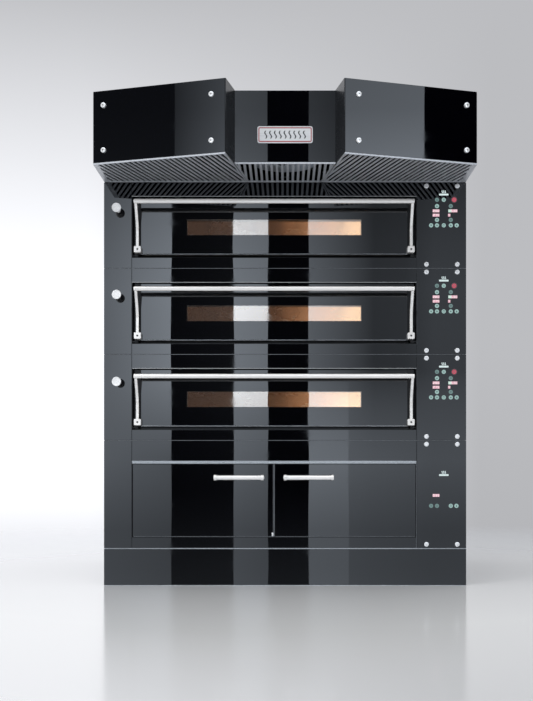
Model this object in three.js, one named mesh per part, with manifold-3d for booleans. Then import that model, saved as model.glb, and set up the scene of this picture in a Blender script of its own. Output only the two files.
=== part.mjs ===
// Three-deck electric baking oven on a proofing cabinet, with a steam hood on top.
// Millimetres, +Z up, front towards -Y. The origin is on the floor, under the middle of the bounding box.
// Every module is modelled in a local frame: x across from the middle, y the depth behind the front
// plane (negative is proud of it), and z up from the module's own underside.
import * as THREE from "three";
import { mergeVertices } from "three/addons/utils/BufferGeometryUtils.js";
import Module from "manifold-3d";

const wasm = await Module();
wasm.setup();

// ---- Driving dimensions ----
const BODY_WIDTH = 1600;
const BODY_DEPTH = 1300;
const PLINTH_HEIGHT = 165;
const PROOFER_HEIGHT = 476;
const DECK_HEIGHT = 380;
const DECK_COUNT = 3;
const HOOD_HEIGHT = 304;
const WING_TIP_REACH = 468; // the hood's foremost corners, in front of the front plane
const WING_END_REACH = 294; // the hood's outer corners
const BAY_REACH = 312; // the recessed middle panel

// ---- Shared sizes ----
const GLASS = 6;
const GAP = 0.3; // between touching pieces
const SEAM = 1; // half of a visible joint line between two panels
const SKIN = GLASS + GAP; // where a casing starts behind its glass
const HALF = BODY_WIDTH / 2;
const SIDE_SKIN = 3; // room on a casing's sides for its sheet panels
const BACK_COVER = 8; // room behind a casing for its service cover
const CASING_BACK = BODY_DEPTH - BACK_COVER;
const BAY_LEFT = -677; // the door bay, between the left column and the control column
const BAY_RIGHT = 581;
const BAY_CENTRE = (BAY_LEFT + BAY_RIGHT) / 2;
const SIDES = 12; // facets round small turned pieces

// ---- Deck ----
const SILL = 47;
const HEADER = 317.5; // underside of the header
const DOOR = { left: -664, right: 568, bottom: 62, top: 312, face: 4, plate: 16, back: 50 };
const STILE = 27;
const HINGE = { y: 7, z: 56, ear: 6, pin: 3, running: 0.6 };
const WINDOW = { width: 770, bottom: 148, top: 216 };
const BAR = { radius: 10, z: 277.5, y: -85, left: -657, right: 562 };
const ARM = { width: 14, thick: 12, rise: 184, standoff: -29, inset: 8 };
const BOSS = { width: 30, height: 28, z: 80 };
const CHAMBER = { left: -639.5, right: 543.5, bottom: 57.5, top: 289.5, front: 52.3, back: 1151.5, wall: 8 };
const KNOB = { x: -736, z: 256, radius: 20, face: -63, rod: 5, rodEnd: 120, flap: 40, bay: 26 };
const LAMP = { y: 330, z: 205, radius: 22, length: 60 };

// ---- Proofer ----
const PROOFER_DOOR = { bottom: 50, top: 372, thick: 22, split: -49.5, seam: 1.5 };
const PROOFER_HEADER = 373.5; // underside of the header's metal lip
const PROOFER_SILL = 48;
const INLET = { x: 560, z: 70, half: 34, depth: 28 };
const PULL = { length: 219, radius: 10, ferrule: 12.75, cap: 13, y: -45, z: 312, toGap: 44 };

// ---- Hood ----
const TIP_X = 240; // half the distance between the foremost corners
const RETURN_X = 210; // half the width of the recessed middle panel
const MITRE_X = 164; // where the grilles' mitre meets the front plane
const HOOD_HALF = 798;
const GRILLE = { thick: 7, margin: 19, pitch: 22.5, slot: 11 };
const DUCT = { y: 650, inner: 150, outer: 156, flange: 185, top: 380, hubRadius: 45 };

const PROOFER_Z = PLINTH_HEIGHT;
const FIRST_DECK_Z = PROOFER_Z + PROOFER_HEIGHT;
const HOOD_Z = FIRST_DECK_Z + DECK_COUNT * DECK_HEIGHT;
const FRONT_Y = -(BODY_DEPTH + WING_TIP_REACH) / 2 + WING_TIP_REACH;

// ---- Finishes ----
const finish = (color, roughness, metalness, more = {}) =>
  new THREE.MeshStandardMaterial({ color, roughness, metalness, ...more });
const blackGlass = finish(0x07080a, 0.03, 0.1);
const blackSteel = finish(0x101113, 0.3, 0.6);
const steel = finish(0xb9bbbd, 0.32, 1);
const chrome = finish(0xe2e3e5, 0.1, 1);
const blackPaint = finish(0x0b0b0c, 0.45, 0.2);
const chamberSteel = finish(0x6a5a4a, 0.5, 0.8);
const stoneware = finish(0xb39a7c, 0.9, 0);
const elementSteel = finish(0x4b4743, 0.55, 0.8);
const lampGlass = finish(0xffd9a8, 0.2, 0, { emissive: 0xff9d50 });
const aluminium = finish(0xc9cacc, 0.4, 1);
const darkPlastic = finish(0x17181a, 0.5, 0);

// ---- Solids ----
/** A closed three.js geometry as a manifold solid. */
function solid(geometry) {
  const bare = geometry.clone();
  bare.deleteAttribute("normal");
  bare.deleteAttribute("uv");
  const merged = mergeVertices(bare, 1e-4);
  return new wasm.Manifold(
    new wasm.Mesh({
      numProp: 3,
      vertProperties: new Float32Array(merged.attributes.position.array),
      triVerts: new Uint32Array(merged.index.array),
    }),
  );
}

/** A manifold solid as a three.js geometry with flat facets. */
function geometryOf(shape) {
  const mesh = shape.getMesh();
  const geometry = new THREE.BufferGeometry();
  geometry.setAttribute("position", new THREE.BufferAttribute(mesh.vertProperties, 3));
  geometry.setIndex(new THREE.BufferAttribute(mesh.triVerts, 1));
  const flat = geometry.toNonIndexed();
  flat.computeVertexNormals();
  return flat;
}

const joined = (...shapes) => shapes.reduce((whole, shape) => whole.add(shape));
const cut = (whole, ...tools) => tools.reduce((left, tool) => left.subtract(tool), whole);

/** A box between two values along each axis. */
function block([x0, x1], [y0, y1], [z0, z1]) {
  const box = new THREE.BoxGeometry(x1 - x0, y1 - y0, z1 - z0);
  box.translate((x0 + x1) / 2, (y0 + y1) / 2, (z0 + z1) / 2);
  return solid(box);
}

/** A round bar along one axis, between two values on it. The centre's axis entry is ignored. */
function bar(axis, [from, to], centre, radius, sides = SIDES) {
  const cylinder = new THREE.CylinderGeometry(radius, radius, to - from, sides);
  const middle = new THREE.Vector3(...centre);
  if (axis === "x") cylinder.rotateZ(Math.PI / 2);
  if (axis === "z") cylinder.rotateX(Math.PI / 2);
  middle[axis] = (from + to) / 2;
  return solid(cylinder.translate(...middle));
}

/** A turned shape. The profile holds [radius, height] pairs, and its axis points along direction. */
function turned(profile, origin, direction, sides = SIDES) {
  const lathe = new THREE.LatheGeometry(profile.map(([r, h]) => new THREE.Vector2(r, h)), sides);
  const turn = new THREE.Quaternion().setFromUnitVectors(
    new THREE.Vector3(0, 1, 0),
    new THREE.Vector3(...direction).normalize(),
  );
  return solid(lathe.applyQuaternion(turn).translate(...origin));
}

/** An upright prism over a plan outline of [x, y] points. */
function prism(outline, [z0, z1]) {
  const shape = new THREE.Shape(outline.map(([x, y]) => new THREE.Vector2(x, y)));
  const extruded = new THREE.ExtrudeGeometry(shape, { depth: z1 - z0, bevelEnabled: false });
  return solid(extruded.translate(0, 0, z0));
}

/** A plate of constant thickness across x over a side outline of [y, z] points. */
function sidePlate(outline, [x0, x1]) {
  const shape = new THREE.Shape(outline.map(([y, z]) => new THREE.Vector2(y, z)));
  const extruded = new THREE.ExtrudeGeometry(shape, { depth: x1 - x0, bevelEnabled: false });
  const swap = new THREE.Matrix4().set(0, 0, 1, x0, 1, 0, 0, 0, 0, 1, 0, 0, 0, 0, 0, 1);
  return solid(extruded.applyMatrix4(swap));
}

/** An outline moved inwards by a distance. Its points run counter-clockwise. */
function inset(outline, distance) {
  const count = outline.length;
  const edges = outline.map(([x, y], i) => {
    const [nextX, nextY] = outline[(i + 1) % count];
    const along = new THREE.Vector2(nextX - x, nextY - y).normalize();
    return { x: x - along.y * distance, y: y + along.x * distance, along };
  });
  return edges.map((edge, i) => {
    const before = edges[(i + count - 1) % count];
    const turn = before.along.cross(edge.along);
    const reach = ((edge.x - before.x) * edge.along.y - (edge.y - before.y) * edge.along.x) / turn;
    return [before.x + before.along.x * reach, before.y + before.along.y * reach];
  });
}

/** An outline mirrored to the other side of the middle, still counter-clockwise. */
const mirrored = (outline) => outline.map(([x, y]) => [-x, y]).reverse();

/** Puts a solid into a group as a named mesh. */
function place(group, name, shape, material) {
  const mesh = new THREE.Mesh(geometryOf(shape), material);
  mesh.name = name;
  group.add(mesh);
}

// ---- Pieces that the decks and the proofer share ----
const ELECTRICS_BAY = { x: [596, 785], back: 600 };

/** The casing: a thick insulated box with a well at the front, and a bay behind the controls. */
function casing(height, ...wells) {
  const body = block([SIDE_SKIN - HALF, HALF - SIDE_SKIN], [SKIN, CASING_BACK], [GAP / 2, height - GAP / 2]);
  const bay = block(ELECTRICS_BAY.x, [SKIN - 1, ELECTRICS_BAY.back], [6, height - 6]);
  return cut(body, bay, ...wells);
}

const leftPanel = (height) => block([-HALF, BAY_LEFT - SEAM], [0, GLASS], [SEAM, height - SEAM]);

const LINING = { thick: 2, overlap: 1, front: 1.5 };

/** The well in a casing that takes a door and its linings. */
const doorBay = (depth, sillTop, headerBottom) =>
  block(
    [BAY_LEFT, BAY_RIGHT],
    [SKIN - 1, depth],
    [sillTop - LINING.overlap - GAP, headerBottom + LINING.overlap + GAP],
  );

/** The glass header and sill of a door bay, joined by the bay's two side linings. */
function surround(height, sillTop, headerBottom, liningDepth) {
  const [left, right] = [BAY_LEFT + GAP, BAY_RIGHT - GAP];
  const { thick, overlap, front } = LINING;
  const liningHeight = [sillTop - overlap, headerBottom + overlap];
  return joined(
    block([left, right], [0, GLASS], [SEAM, sillTop]),
    block([left, right], [0, GLASS], [headerBottom, height - SEAM]),
    block([left, left + thick], [front, liningDepth], liningHeight),
    block([right - thick, right], [front, liningDepth], liningHeight),
  );
}

const CAP_COLUMNS = [624, 760];
const CAP_INSET = 17;
const capPlaces = (height) =>
  CAP_COLUMNS.flatMap((x) => [CAP_INSET, height - CAP_INSET].map((z) => [x, z]));

function controlPanel(height) {
  const glass = block([BAY_RIGHT + SEAM, HALF], [0, GLASS], [SEAM, height - SEAM]);
  return cut(glass, ...capPlaces(height).map(([x, z]) => bar("y", [-1, GLASS + 1], [x, 0, z], 5.5)));
}

const CAP_PROFILE = [[0, -9], [4, -9], [4, GAP], [10.5, GAP], [10.5, 5], [7.5, 7.5], [0, 7.5]];

/** The bracket behind a control panel, with its four studs and the round caps that hold the glass. */
function panelCaps(height) {
  const [left, right] = CAP_COLUMNS;
  const rail = 8;
  const plate = [SKIN + 1, SKIN + 4];
  const uprights = CAP_COLUMNS.map((x) =>
    block([x - rail, x + rail], plate, [CAP_INSET - rail, height - CAP_INSET + rail]),
  );
  return joined(
    ...uprights,
    block([left, right], plate, [height / 2 - rail, height / 2 + rail]),
    ...capPlaces(height).map(([x, z]) => turned(CAP_PROFILE, [x, 0, z], [0, -1, 0])),
  );
}

// ---- Deck pieces ----
/** The square hole that the lamp's housing goes through. */
const lampPocket = (from, to, clearance) =>
  block(
    [from, to],
    [LAMP.y - LAMP.radius - clearance, LAMP.y + LAMP.radius + clearance],
    [LAMP.z - LAMP.radius - clearance, LAMP.z + LAMP.radius + clearance],
  );

function deckCasing() {
  return casing(
    DECK_HEIGHT,
    doorBay(CHAMBER.front - GAP, SILL, HEADER),
    block(
      [CHAMBER.left - 0.5, CHAMBER.right + 0.5],
      [CHAMBER.front - 1, CHAMBER.back + 0.5],
      [CHAMBER.bottom - 0.5, CHAMBER.top + 0.5],
    ),
    block(
      [KNOB.x - KNOB.bay, KNOB.x + KNOB.bay],
      [SKIN - 1, KNOB.rodEnd + 30],
      [KNOB.z - KNOB.bay, KNOB.z + KNOB.bay],
    ),
    lampPocket(CHAMBER.right - 1, CHAMBER.right - CHAMBER.wall + LAMP.length, 3),
  );
}

function chamber() {
  const { left, right, bottom, top, front, back, wall } = CHAMBER;
  return cut(
    block([left, right], [front, back], [bottom, top]),
    block([left + wall, right - wall], [front - 1, back - wall], [bottom + wall, top - wall]),
    lampPocket(right - wall - 1, right + 1, 1),
  );
}

function stone() {
  const { left, right, bottom, front, back, wall } = CHAMBER;
  const floor = bottom + wall + GAP;
  return block([left + wall + 2, right - wall - 2], [front + 12, back - wall - 2], [floor, floor + 20]);
}

/** Tubular elements under the chamber's ceiling, joined by a header tube at each end. */
function heater() {
  const { left, right, top, front, back, wall } = CHAMBER;
  const z = top - wall - 12;
  const ends = [front + 60, back - wall - 30];
  const rows = 6;
  const [first, last] = [left + 60, right - 60];
  const tubes = Array.from({ length: rows }, (_, i) => first + ((last - first) * i) / (rows - 1));
  return joined(
    ...ends.map((y) => bar("x", [first - 6, last + 6], [0, y, z], 6, 6)),
    ...tubes.map((x) => bar("y", ends, [x, 0, z], 5, 6)),
    ...ends.flatMap((y) =>
      [first, last].map((x) => bar("z", [z, top - wall - GAP], [x, y, 0], 4, 6)),
    ),
  );
}

function lamp() {
  const lens = CHAMBER.right - CHAMBER.wall;
  return turned(
    [[0, 0], [8, 0], [17, 4], [LAMP.radius, 10], [LAMP.radius, LAMP.length - 12], [12, LAMP.length - 8],
      [12, LAMP.length], [0, LAMP.length]],
    [lens - 4, LAMP.y, LAMP.z],
    [1, 0, 0],
  );
}

const deckLeftPanel = () =>
  cut(leftPanel(DECK_HEIGHT), bar("y", [-1, GLASS + 1], [KNOB.x, 0, KNOB.z], KNOB.rod + 2));

/** The door bay's header, sill and linings, with the two pins that the door turns on. */
function deckSurround() {
  const pins = [
    [BAY_LEFT + 1, DOOR.left + 12],
    [DOOR.right - 12, BAY_RIGHT - 1],
  ].map((span) => bar("x", span, [0, HINGE.y, HINGE.z], HINGE.pin, 16));
  return joined(surround(DECK_HEIGHT, SILL, HEADER, 40), ...pins);
}

/** The door's steel frame: a face plate with two stiles, a plug that closes the chamber, and hinge ears. */
function doorFrame() {
  const { left, right, bottom, top, face, plate, back } = DOOR;
  const glassPocket = block(
    [left + STILE - GAP, right - STILE + GAP],
    [face - 1, face + GLASS + GAP],
    [bottom + 3 - GAP, top + 1],
  );
  const half = WINDOW.width / 2;
  const window = block([BAY_CENTRE - half, BAY_CENTRE + half], [0, back + 1], [WINDOW.bottom, WINDOW.top]);
  const ears = [
    [left, left + 14],
    [right - 14, right],
  ].map((span) =>
    joined(
      bar("x", span, [0, HINGE.y, HINGE.z], HINGE.ear, 16),
      block(span, [face, HINGE.y + HINGE.ear], [HINGE.z, bottom + 2]),
    ),
  );
  const pinHole = bar("x", [left - 1, right + 1], [0, HINGE.y, HINGE.z], HINGE.pin + HINGE.running, 16);
  return cut(
    joined(
      block([left, right], [face, plate], [bottom, top]),
      block([left + 32, right - 32], [plate - 1, back], [bottom + 6, CHAMBER.top - 2]),
      ...ears,
    ),
    glassPocket,
    window,
    pinHole,
  );
}

const doorGlass = () =>
  block(
    [DOOR.left + STILE, DOOR.right - STILE],
    [DOOR.face, DOOR.face + GLASS],
    [DOOR.bottom + 3, DOOR.top],
  );

/** The full-width bar on its two bent arms, each bolted to a stile by a boss. */
function doorHandle() {
  const { radius, z, y, left, right } = BAR;
  const [low, half] = [BOSS.z, ARM.thick / 2];
  const lean = new THREE.Vector2(y - ARM.standoff, z - ARM.rise).normalize();
  const across = [lean.y * half, -lean.x * half];
  const side = [
    [ARM.standoff + ARM.thick, low],
    [ARM.standoff + ARM.thick, ARM.rise + 3],
    [y + across[0], z + across[1]],
    [y - across[0], z - across[1]],
    [ARM.standoff, ARM.rise],
    [ARM.standoff, low],
  ];
  const arms = [left + ARM.inset, right - ARM.inset].flatMap((x) => [
    sidePlate(side, [x - ARM.width / 2, x + ARM.width / 2]),
    block(
      [x - BOSS.width / 2, x + BOSS.width / 2],
      [ARM.standoff, DOOR.face - GAP],
      [low - BOSS.height / 2, low + BOSS.height / 2],
    ),
  ]);
  return joined(bar("x", [left, right], [0, y, z], radius, 16), ...arms);
}

/** The damper's pull: a flat round knob on a rod that draws a flap plate inside the left column. */
function damperPull() {
  const { x, z, radius, face, rod, rodEnd, flap } = KNOB;
  const head = [[0, 0], [radius - 2, 0], [radius, 2], [radius, 10], [radius - 6, 14], [0, 14]];
  return joined(
    turned(head, [x, face, z], [0, 1, 0], 20),
    bar("y", [face + 10, rodEnd], [x, 0, z], rod, 12),
    block([x - flap / 2, x + flap / 2], [rodEnd - 1, rodEnd + 2], [z - flap / 2, z + flap / 2]),
  );
}

/** One baking deck. */
function deck(number) {
  const group = new THREE.Group();
  const add = (name, shape, material) => place(group, `deck_${number}_${name}`, shape, material);
  add("casing", deckCasing(), blackSteel);
  add("baking_chamber", chamber(), chamberSteel);
  add("baking_stone", stone(), stoneware);
  add("heating_element", heater(), elementSteel);
  add("chamber_lamp", lamp(), lampGlass);
  add("left_panel", deckLeftPanel(), blackGlass);
  add("door_surround", deckSurround(), blackGlass);
  add("control_panel", controlPanel(DECK_HEIGHT), blackGlass);
  add("panel_bracket", panelCaps(DECK_HEIGHT), chrome);
  add("door_frame", doorFrame(), blackPaint);
  add("door_glass", doorGlass(), blackGlass);
  add("door_handle", doorHandle(), steel);
  add("damper_pull", damperPull(), aluminium);
  return group;
}

// ---- Proofer pieces ----
const PROOFER_WELL = { left: -660, right: 565, back: 1240, bottom: 54, top: 368 };

function prooferCasing() {
  const { left, right, back, bottom, top } = PROOFER_WELL;
  const doorStep = PROOFER_DOOR.thick + 3;
  return casing(
    PROOFER_HEIGHT,
    doorBay(doorStep, PROOFER_SILL, PROOFER_HEADER),
    block([left, right], [doorStep - 1, back], [bottom, top]),
    block(
      [INLET.x - INLET.half, INLET.x + INLET.half],
      [BODY_DEPTH - INLET.depth, BODY_DEPTH + 1],
      [INLET.z - INLET.half, INLET.z + INLET.half],
    ),
  );
}

/** A proofer door between two x values: a glass-faced slab with a seal land behind it. */
function prooferDoor([left, right]) {
  const { bottom, top, thick } = PROOFER_DOOR;
  return block([left, right], [0, thick], [bottom + SEAM, top - SEAM]);
}

/** A short bar handle on two posts, with a ferrule at each end. */
function prooferHandle([left, right]) {
  const { radius, ferrule, cap, y, z } = PULL;
  const ends = [
    [left, left + cap],
    [right - cap, right],
  ];
  return joined(
    bar("x", [left + 1, right - 1], [0, y, z], radius),
    ...ends.map((span) => bar("x", span, [0, y, z], ferrule)),
    ...ends.map(([from, to]) => bar("y", [y, -GAP], [(from + to) / 2, 0, z], 6, 12)),
  );
}

/** Two shelves on four corner posts. */
function shelfRack() {
  const { left, right, back, bottom, top } = PROOFER_WELL;
  const [x0, x1, y0, y1] = [left + 12, right - 12, 60, back - 30];
  const post = 14;
  const levels = [bottom + 60, (bottom + top) / 2 + 50];
  const shelves = levels.map((z) => block([x0, x1], [y0, y1], [z, z + 4]));
  const posts = [x0, x1 - post].flatMap((x) =>
    [y0, y1 - post].map((y) => block([x, x + post], [y, y + post], [bottom + GAP, top - 20])),
  );
  return joined(...shelves, ...posts);
}

function proofer() {
  const group = new THREE.Group();
  const add = (name, shape, material) => place(group, `proofer_${name}`, shape, material);
  const { split, seam } = PROOFER_DOOR;
  const leftEdge = BAY_LEFT + 4.5;
  const rightEdge = BAY_RIGHT - 4.5;
  add("casing", prooferCasing(), blackSteel);
  add("left_panel", leftPanel(PROOFER_HEIGHT), blackGlass);
  add("door_surround", surround(PROOFER_HEIGHT, PROOFER_SILL, PROOFER_HEADER, 20), blackGlass);
  add("control_panel", controlPanel(PROOFER_HEIGHT), blackGlass);
  add("panel_bracket", panelCaps(PROOFER_HEIGHT), chrome);
  add("left_door", prooferDoor([leftEdge, split - seam]), blackGlass);
  add("right_door", prooferDoor([split + seam, rightEdge]), blackGlass);
  add("left_handle", prooferHandle([split - PULL.toGap - PULL.length, split - PULL.toGap]), steel);
  add("right_handle", prooferHandle([split + PULL.toGap, split + PULL.toGap + PULL.length]), steel);
  add("shelf_rack", shelfRack(), steel);
  return group;
}

// ---- Base ----
function plinth() {
  const wall = 14;
  const height = PLINTH_HEIGHT - GAP;
  return cut(
    block([-HALF, HALF], [0, BODY_DEPTH], [0, height]),
    block([wall - HALF, HALF - wall], [wall, BODY_DEPTH - wall], [-1, height - wall]),
  );
}

/** The mains cable's gland, in a pocket low on the back of the proofer. */
function cableGland() {
  const profile = [[9, 0], [20, 0], [20, 8], [16, 13], [16, 24], [9, 24], [9, 0]];
  return turned(profile, [INLET.x, BODY_DEPTH - INLET.depth + GAP, INLET.z], [0, 1, 0]);
}

// ---- Hood pieces ----
const HOOD_OUTLINE = [
  [-HOOD_HALF, -WING_END_REACH],
  [-TIP_X, -WING_TIP_REACH],
  [-RETURN_X, -BAY_REACH],
  [RETURN_X, -BAY_REACH],
  [TIP_X, -WING_TIP_REACH],
  [HOOD_HALF, -WING_END_REACH],
  [HOOD_HALF, CASING_BACK],
  [-HOOD_HALF, CASING_BACK],
];
const PANEL_BOTTOM = GRILLE.thick + GAP;
const wingAlong = new THREE.Vector2(HOOD_HALF - TIP_X, WING_END_REACH - WING_TIP_REACH).normalize();
const wingOut = new THREE.Vector2(wingAlong.y, -wingAlong.x); // a left wing's outward direction
const WING_CAPS = { along: [48, 526], z: [57, 243] }; // from the outer corner along the wing

/** The plan outline of the left wing's glass. */
function wingOutline() {
  const [start, end] = HOOD_OUTLINE;
  const back = ([x, y]) => [x, y - GLASS / wingOut.y];
  return [start, end, back(end), back(start)];
}

/** Where the caps of one wing stand, as [x, y, z] on the glass's face. side is -1 left or 1 right. */
function wingCapPlaces(side) {
  return WING_CAPS.along.flatMap((reach) =>
    WING_CAPS.z.map((z) => {
      const x = -HOOD_HALF + wingAlong.x * reach;
      return [-side * x, -WING_END_REACH + wingAlong.y * reach, z];
    }),
  );
}

const outward = (side) => [-side * wingOut.x, wingOut.y, 0];

function wingPanel(side) {
  const outline = side < 0 ? wingOutline() : mirrored(wingOutline());
  const holes = wingCapPlaces(side).map((place) =>
    turned([[0, -20], [5.5, -20], [5.5, 20], [0, 20]], place, outward(side)),
  );
  return cut(prism(outline, [PANEL_BOTTOM, HOOD_HEIGHT]), ...holes);
}

const centrePanel = () =>
  block([GAP - RETURN_X, RETURN_X - GAP], [-BAY_REACH, GLASS - BAY_REACH], [PANEL_BOTTOM, HOOD_HEIGHT]);

/** The folded steel hood behind the glass: open below, with a round duct hole in its roof. */
function hoodShell() {
  const behind = SKIN / -wingOut.y;
  const outline = HOOD_OUTLINE.map(([x, y], i) => [x, i < 6 ? y + (i === 2 || i === 3 ? SKIN : behind) : y]);
  const roof = HOOD_HEIGHT - GAP;
  const shell = cut(
    prism(outline, [PANEL_BOTTOM, roof]),
    prism(inset(outline, 12), [0, roof - 10]),
    bar("z", [roof - 20, roof + 20], [0, DUCT.y, 0], DUCT.outer + 2, 32),
  );
  const foot = cut(
    block([-HOOD_HALF, HOOD_HALF], [SKIN, CASING_BACK], [GAP, PANEL_BOTTOM + 1]),
    block([12 - HOOD_HALF, HOOD_HALF - 12], [0, CASING_BACK - 12], [-1, 20]),
  );
  const studs = [-1, 1].flatMap((side) =>
    wingCapPlaces(side).map((place) => turned(CAP_PROFILE, place, outward(side))),
  );
  return joined(shell, foot, ...studs);
}

/** A grille plate with straight slots. The slots run along a plan direction, clear of a margin. */
function grille(outline, direction) {
  const { thick, margin, pitch, slot } = GRILLE;
  const plate = prism(outline, [0, thick]);
  const field = prism(inset(outline, margin), [-1, thick + 1]);
  const turn = Math.atan2(direction.y, direction.x) - Math.PI / 2;
  const across = new THREE.Vector2(direction.y, -direction.x);
  const reaches = outline.map(([x, y]) => x * across.x + y * across.y);
  const middle = (Math.min(...reaches) + Math.max(...reaches)) / 2;
  const half = Math.floor((Math.max(...reaches) - Math.min(...reaches)) / 2 / pitch);
  const bars = [];
  for (let i = -half; i <= half; i += 1) {
    const reach = middle + i * pitch;
    const strip = new THREE.BoxGeometry(slot, 2000, thick + 4);
    strip.rotateZ(turn).translate(across.x * reach, across.y * reach, thick / 2);
    bars.push(solid(strip).intersect(field));
  }
  return cut(plate, ...bars);
}

const WING_GRILLE = [
  [-HOOD_HALF, -WING_END_REACH],
  [-TIP_X, -WING_TIP_REACH],
  [-MITRE_X - 1, -GAP],
  [-HOOD_HALF, -GAP],
];
const CENTRE_GRILLE = [
  [1 - RETURN_X, -BAY_REACH],
  [RETURN_X - 1, -BAY_REACH],
  [MITRE_X, -GAP],
  [-MITRE_X, -GAP],
];

/** The duct collar: a ring with two flanges, and a fan motor held in the middle by a strap. */
function ductCollar() {
  const { inner, outer, flange, top, y, hubRadius } = DUCT;
  const seat = HOOD_HEIGHT + GAP;
  const profile = [
    [inner, 250],
    [outer, 250],
    [outer, seat],
    [flange, seat],
    [flange, seat + 4],
    [outer, seat + 4],
    [outer, top - 6],
    [flange, top - 6],
    [flange, top],
    [inner, top],
    [inner, 250],
  ];
  const strap = (inner + outer) / 2;
  return joined(
    turned(profile, [0, y, 0], [0, 0, 1]),
    bar("z", [308, 366], [0, y, 0], hubRadius),
    block([-strap, strap], [y - 4, y + 4], [320, 350]),
  );
}

/** The extractor's impeller: a hub and seven pitched blades. */
function impeller() {
  const { y, inner, hubRadius } = DUCT;
  const blades = Array.from({ length: 7 }, (_, i) => {
    const blade = new THREE.BoxGeometry(inner - hubRadius - 10, 4, 46);
    blade.rotateX(Math.PI / 4).translate((inner + hubRadius - 14) / 2, 0, 282);
    return solid(blade.rotateZ((2 * Math.PI * i) / 7).translate(0, y, 0));
  });
  return joined(bar("z", [262, 302], [0, y, 0], hubRadius, 14), ...blades);
}

function hood() {
  const group = new THREE.Group();
  const add = (name, shape, material) => place(group, `hood_${name}`, shape, material);
  const slats = new THREE.Vector2(wingOut.x, wingOut.y);
  add("shell", hoodShell(), blackSteel);
  add("centre_panel", centrePanel(), blackGlass);
  add("left_wing_panel", wingPanel(-1), blackGlass);
  add("right_wing_panel", wingPanel(1), blackGlass);
  add("centre_grille", grille(CENTRE_GRILLE, new THREE.Vector2(0, 1)), steel);
  add("left_grille", grille(WING_GRILLE, slats), steel);
  add("right_grille", grille(mirrored(WING_GRILLE), new THREE.Vector2(-slats.x, slats.y)), steel);
  add("duct_collar", ductCollar(), steel);
  add("fan_impeller", impeller(), darkPlastic);
  return group;
}

// ---- Assembly ----
const oven = new THREE.Group();
const modules = new THREE.Group();
modules.position.y = FRONT_Y;
oven.add(modules);

place(modules, "plinth", plinth(), blackSteel);
const prooferGroup = proofer();
place(prooferGroup, "cable_gland", cableGland(), darkPlastic);
prooferGroup.position.z = PROOFER_Z;
modules.add(prooferGroup);
for (let i = 0; i < DECK_COUNT; i += 1) {
  const deckGroup = deck(i + 1);
  deckGroup.position.z = FIRST_DECK_Z + i * DECK_HEIGHT;
  modules.add(deckGroup);
}
const hoodGroup = hood();
hoodGroup.position.z = HOOD_Z;
modules.add(hoodGroup);

export default oven;
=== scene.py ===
"""Looks of a three-deck electric baking oven on a proofing cabinet, with a steam hood on top.

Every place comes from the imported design. Each module (plinth, proofer, decks, hood) has a frame of its
own, in millimetres: x from the oven's middle, y the depth behind its front plane, z up from its underside.
"""

import logging
import math
from dataclasses import dataclass
from enum import Enum
from typing import Sequence

import bmesh
import bpy
from mathutils import Matrix, Vector


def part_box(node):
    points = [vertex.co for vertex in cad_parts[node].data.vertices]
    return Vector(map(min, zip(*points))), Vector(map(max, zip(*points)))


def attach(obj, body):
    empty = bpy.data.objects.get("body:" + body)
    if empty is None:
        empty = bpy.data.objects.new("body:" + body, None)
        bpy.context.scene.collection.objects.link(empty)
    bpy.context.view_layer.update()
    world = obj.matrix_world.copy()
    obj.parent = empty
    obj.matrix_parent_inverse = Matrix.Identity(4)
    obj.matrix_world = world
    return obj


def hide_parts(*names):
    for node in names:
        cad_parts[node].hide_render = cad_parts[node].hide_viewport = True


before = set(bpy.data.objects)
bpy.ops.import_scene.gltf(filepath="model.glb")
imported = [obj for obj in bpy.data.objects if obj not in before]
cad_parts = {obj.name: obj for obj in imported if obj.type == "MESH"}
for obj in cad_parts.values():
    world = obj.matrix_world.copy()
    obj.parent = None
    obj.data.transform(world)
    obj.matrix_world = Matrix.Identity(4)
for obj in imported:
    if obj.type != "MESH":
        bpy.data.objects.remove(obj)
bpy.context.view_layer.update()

log = logging.getLogger("deck_oven")

Point = tuple[float, float]
Outline = list[Point]
Span = tuple[float, float]
Colour = tuple[float, float, float]
Socket = bpy.types.NodeSocket
NodeTree = bpy.types.NodeTree

MM = 0.001
GAP = 0.3  # between pieces that touch
SEAM = 1.0  # half of a joint line between two modules
FRONT_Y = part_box("plinth")[0].y


# ---- Outlines ----
def rectangle(u: Span, v: Span) -> Outline:
    """A rectangle's corners, counter-clockwise."""
    return [(u[0], v[0]), (u[1], v[0]), (u[1], v[1]), (u[0], v[1])]


def circle(centre: Point, radius: float, count: int = 32) -> Outline:
    """Points round a circle, counter-clockwise."""
    turns = [2 * math.pi * i / count for i in range(count)]
    return [(centre[0] + radius * math.cos(a), centre[1] + radius * math.sin(a)) for a in turns]


def rounded(u: Span, v: Span, radius: float, steps: int = 4) -> Outline:
    """A rectangle with round corners, counter-clockwise.

    Args:
        u: The span across.
        v: The span up.
        radius: The corners' radius.
        steps: The steps in each corner.

    Returns:
        The outline.
    """
    corners = [(u[1], v[1], 0), (u[0], v[1], 1), (u[0], v[0], 2), (u[1], v[0], 3)]
    points: Outline = []
    for corner_u, corner_v, quarter in corners:
        inward_u = -radius if corner_u == u[1] else radius
        inward_v = -radius if corner_v == v[1] else radius
        for step in range(steps + 1):
            angle = math.pi / 2 * (quarter + step / steps)
            centre = (corner_u + inward_u, corner_v + inward_v)
            points.append((centre[0] + radius * math.cos(angle), centre[1] + radius * math.sin(angle)))
    return points


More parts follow.
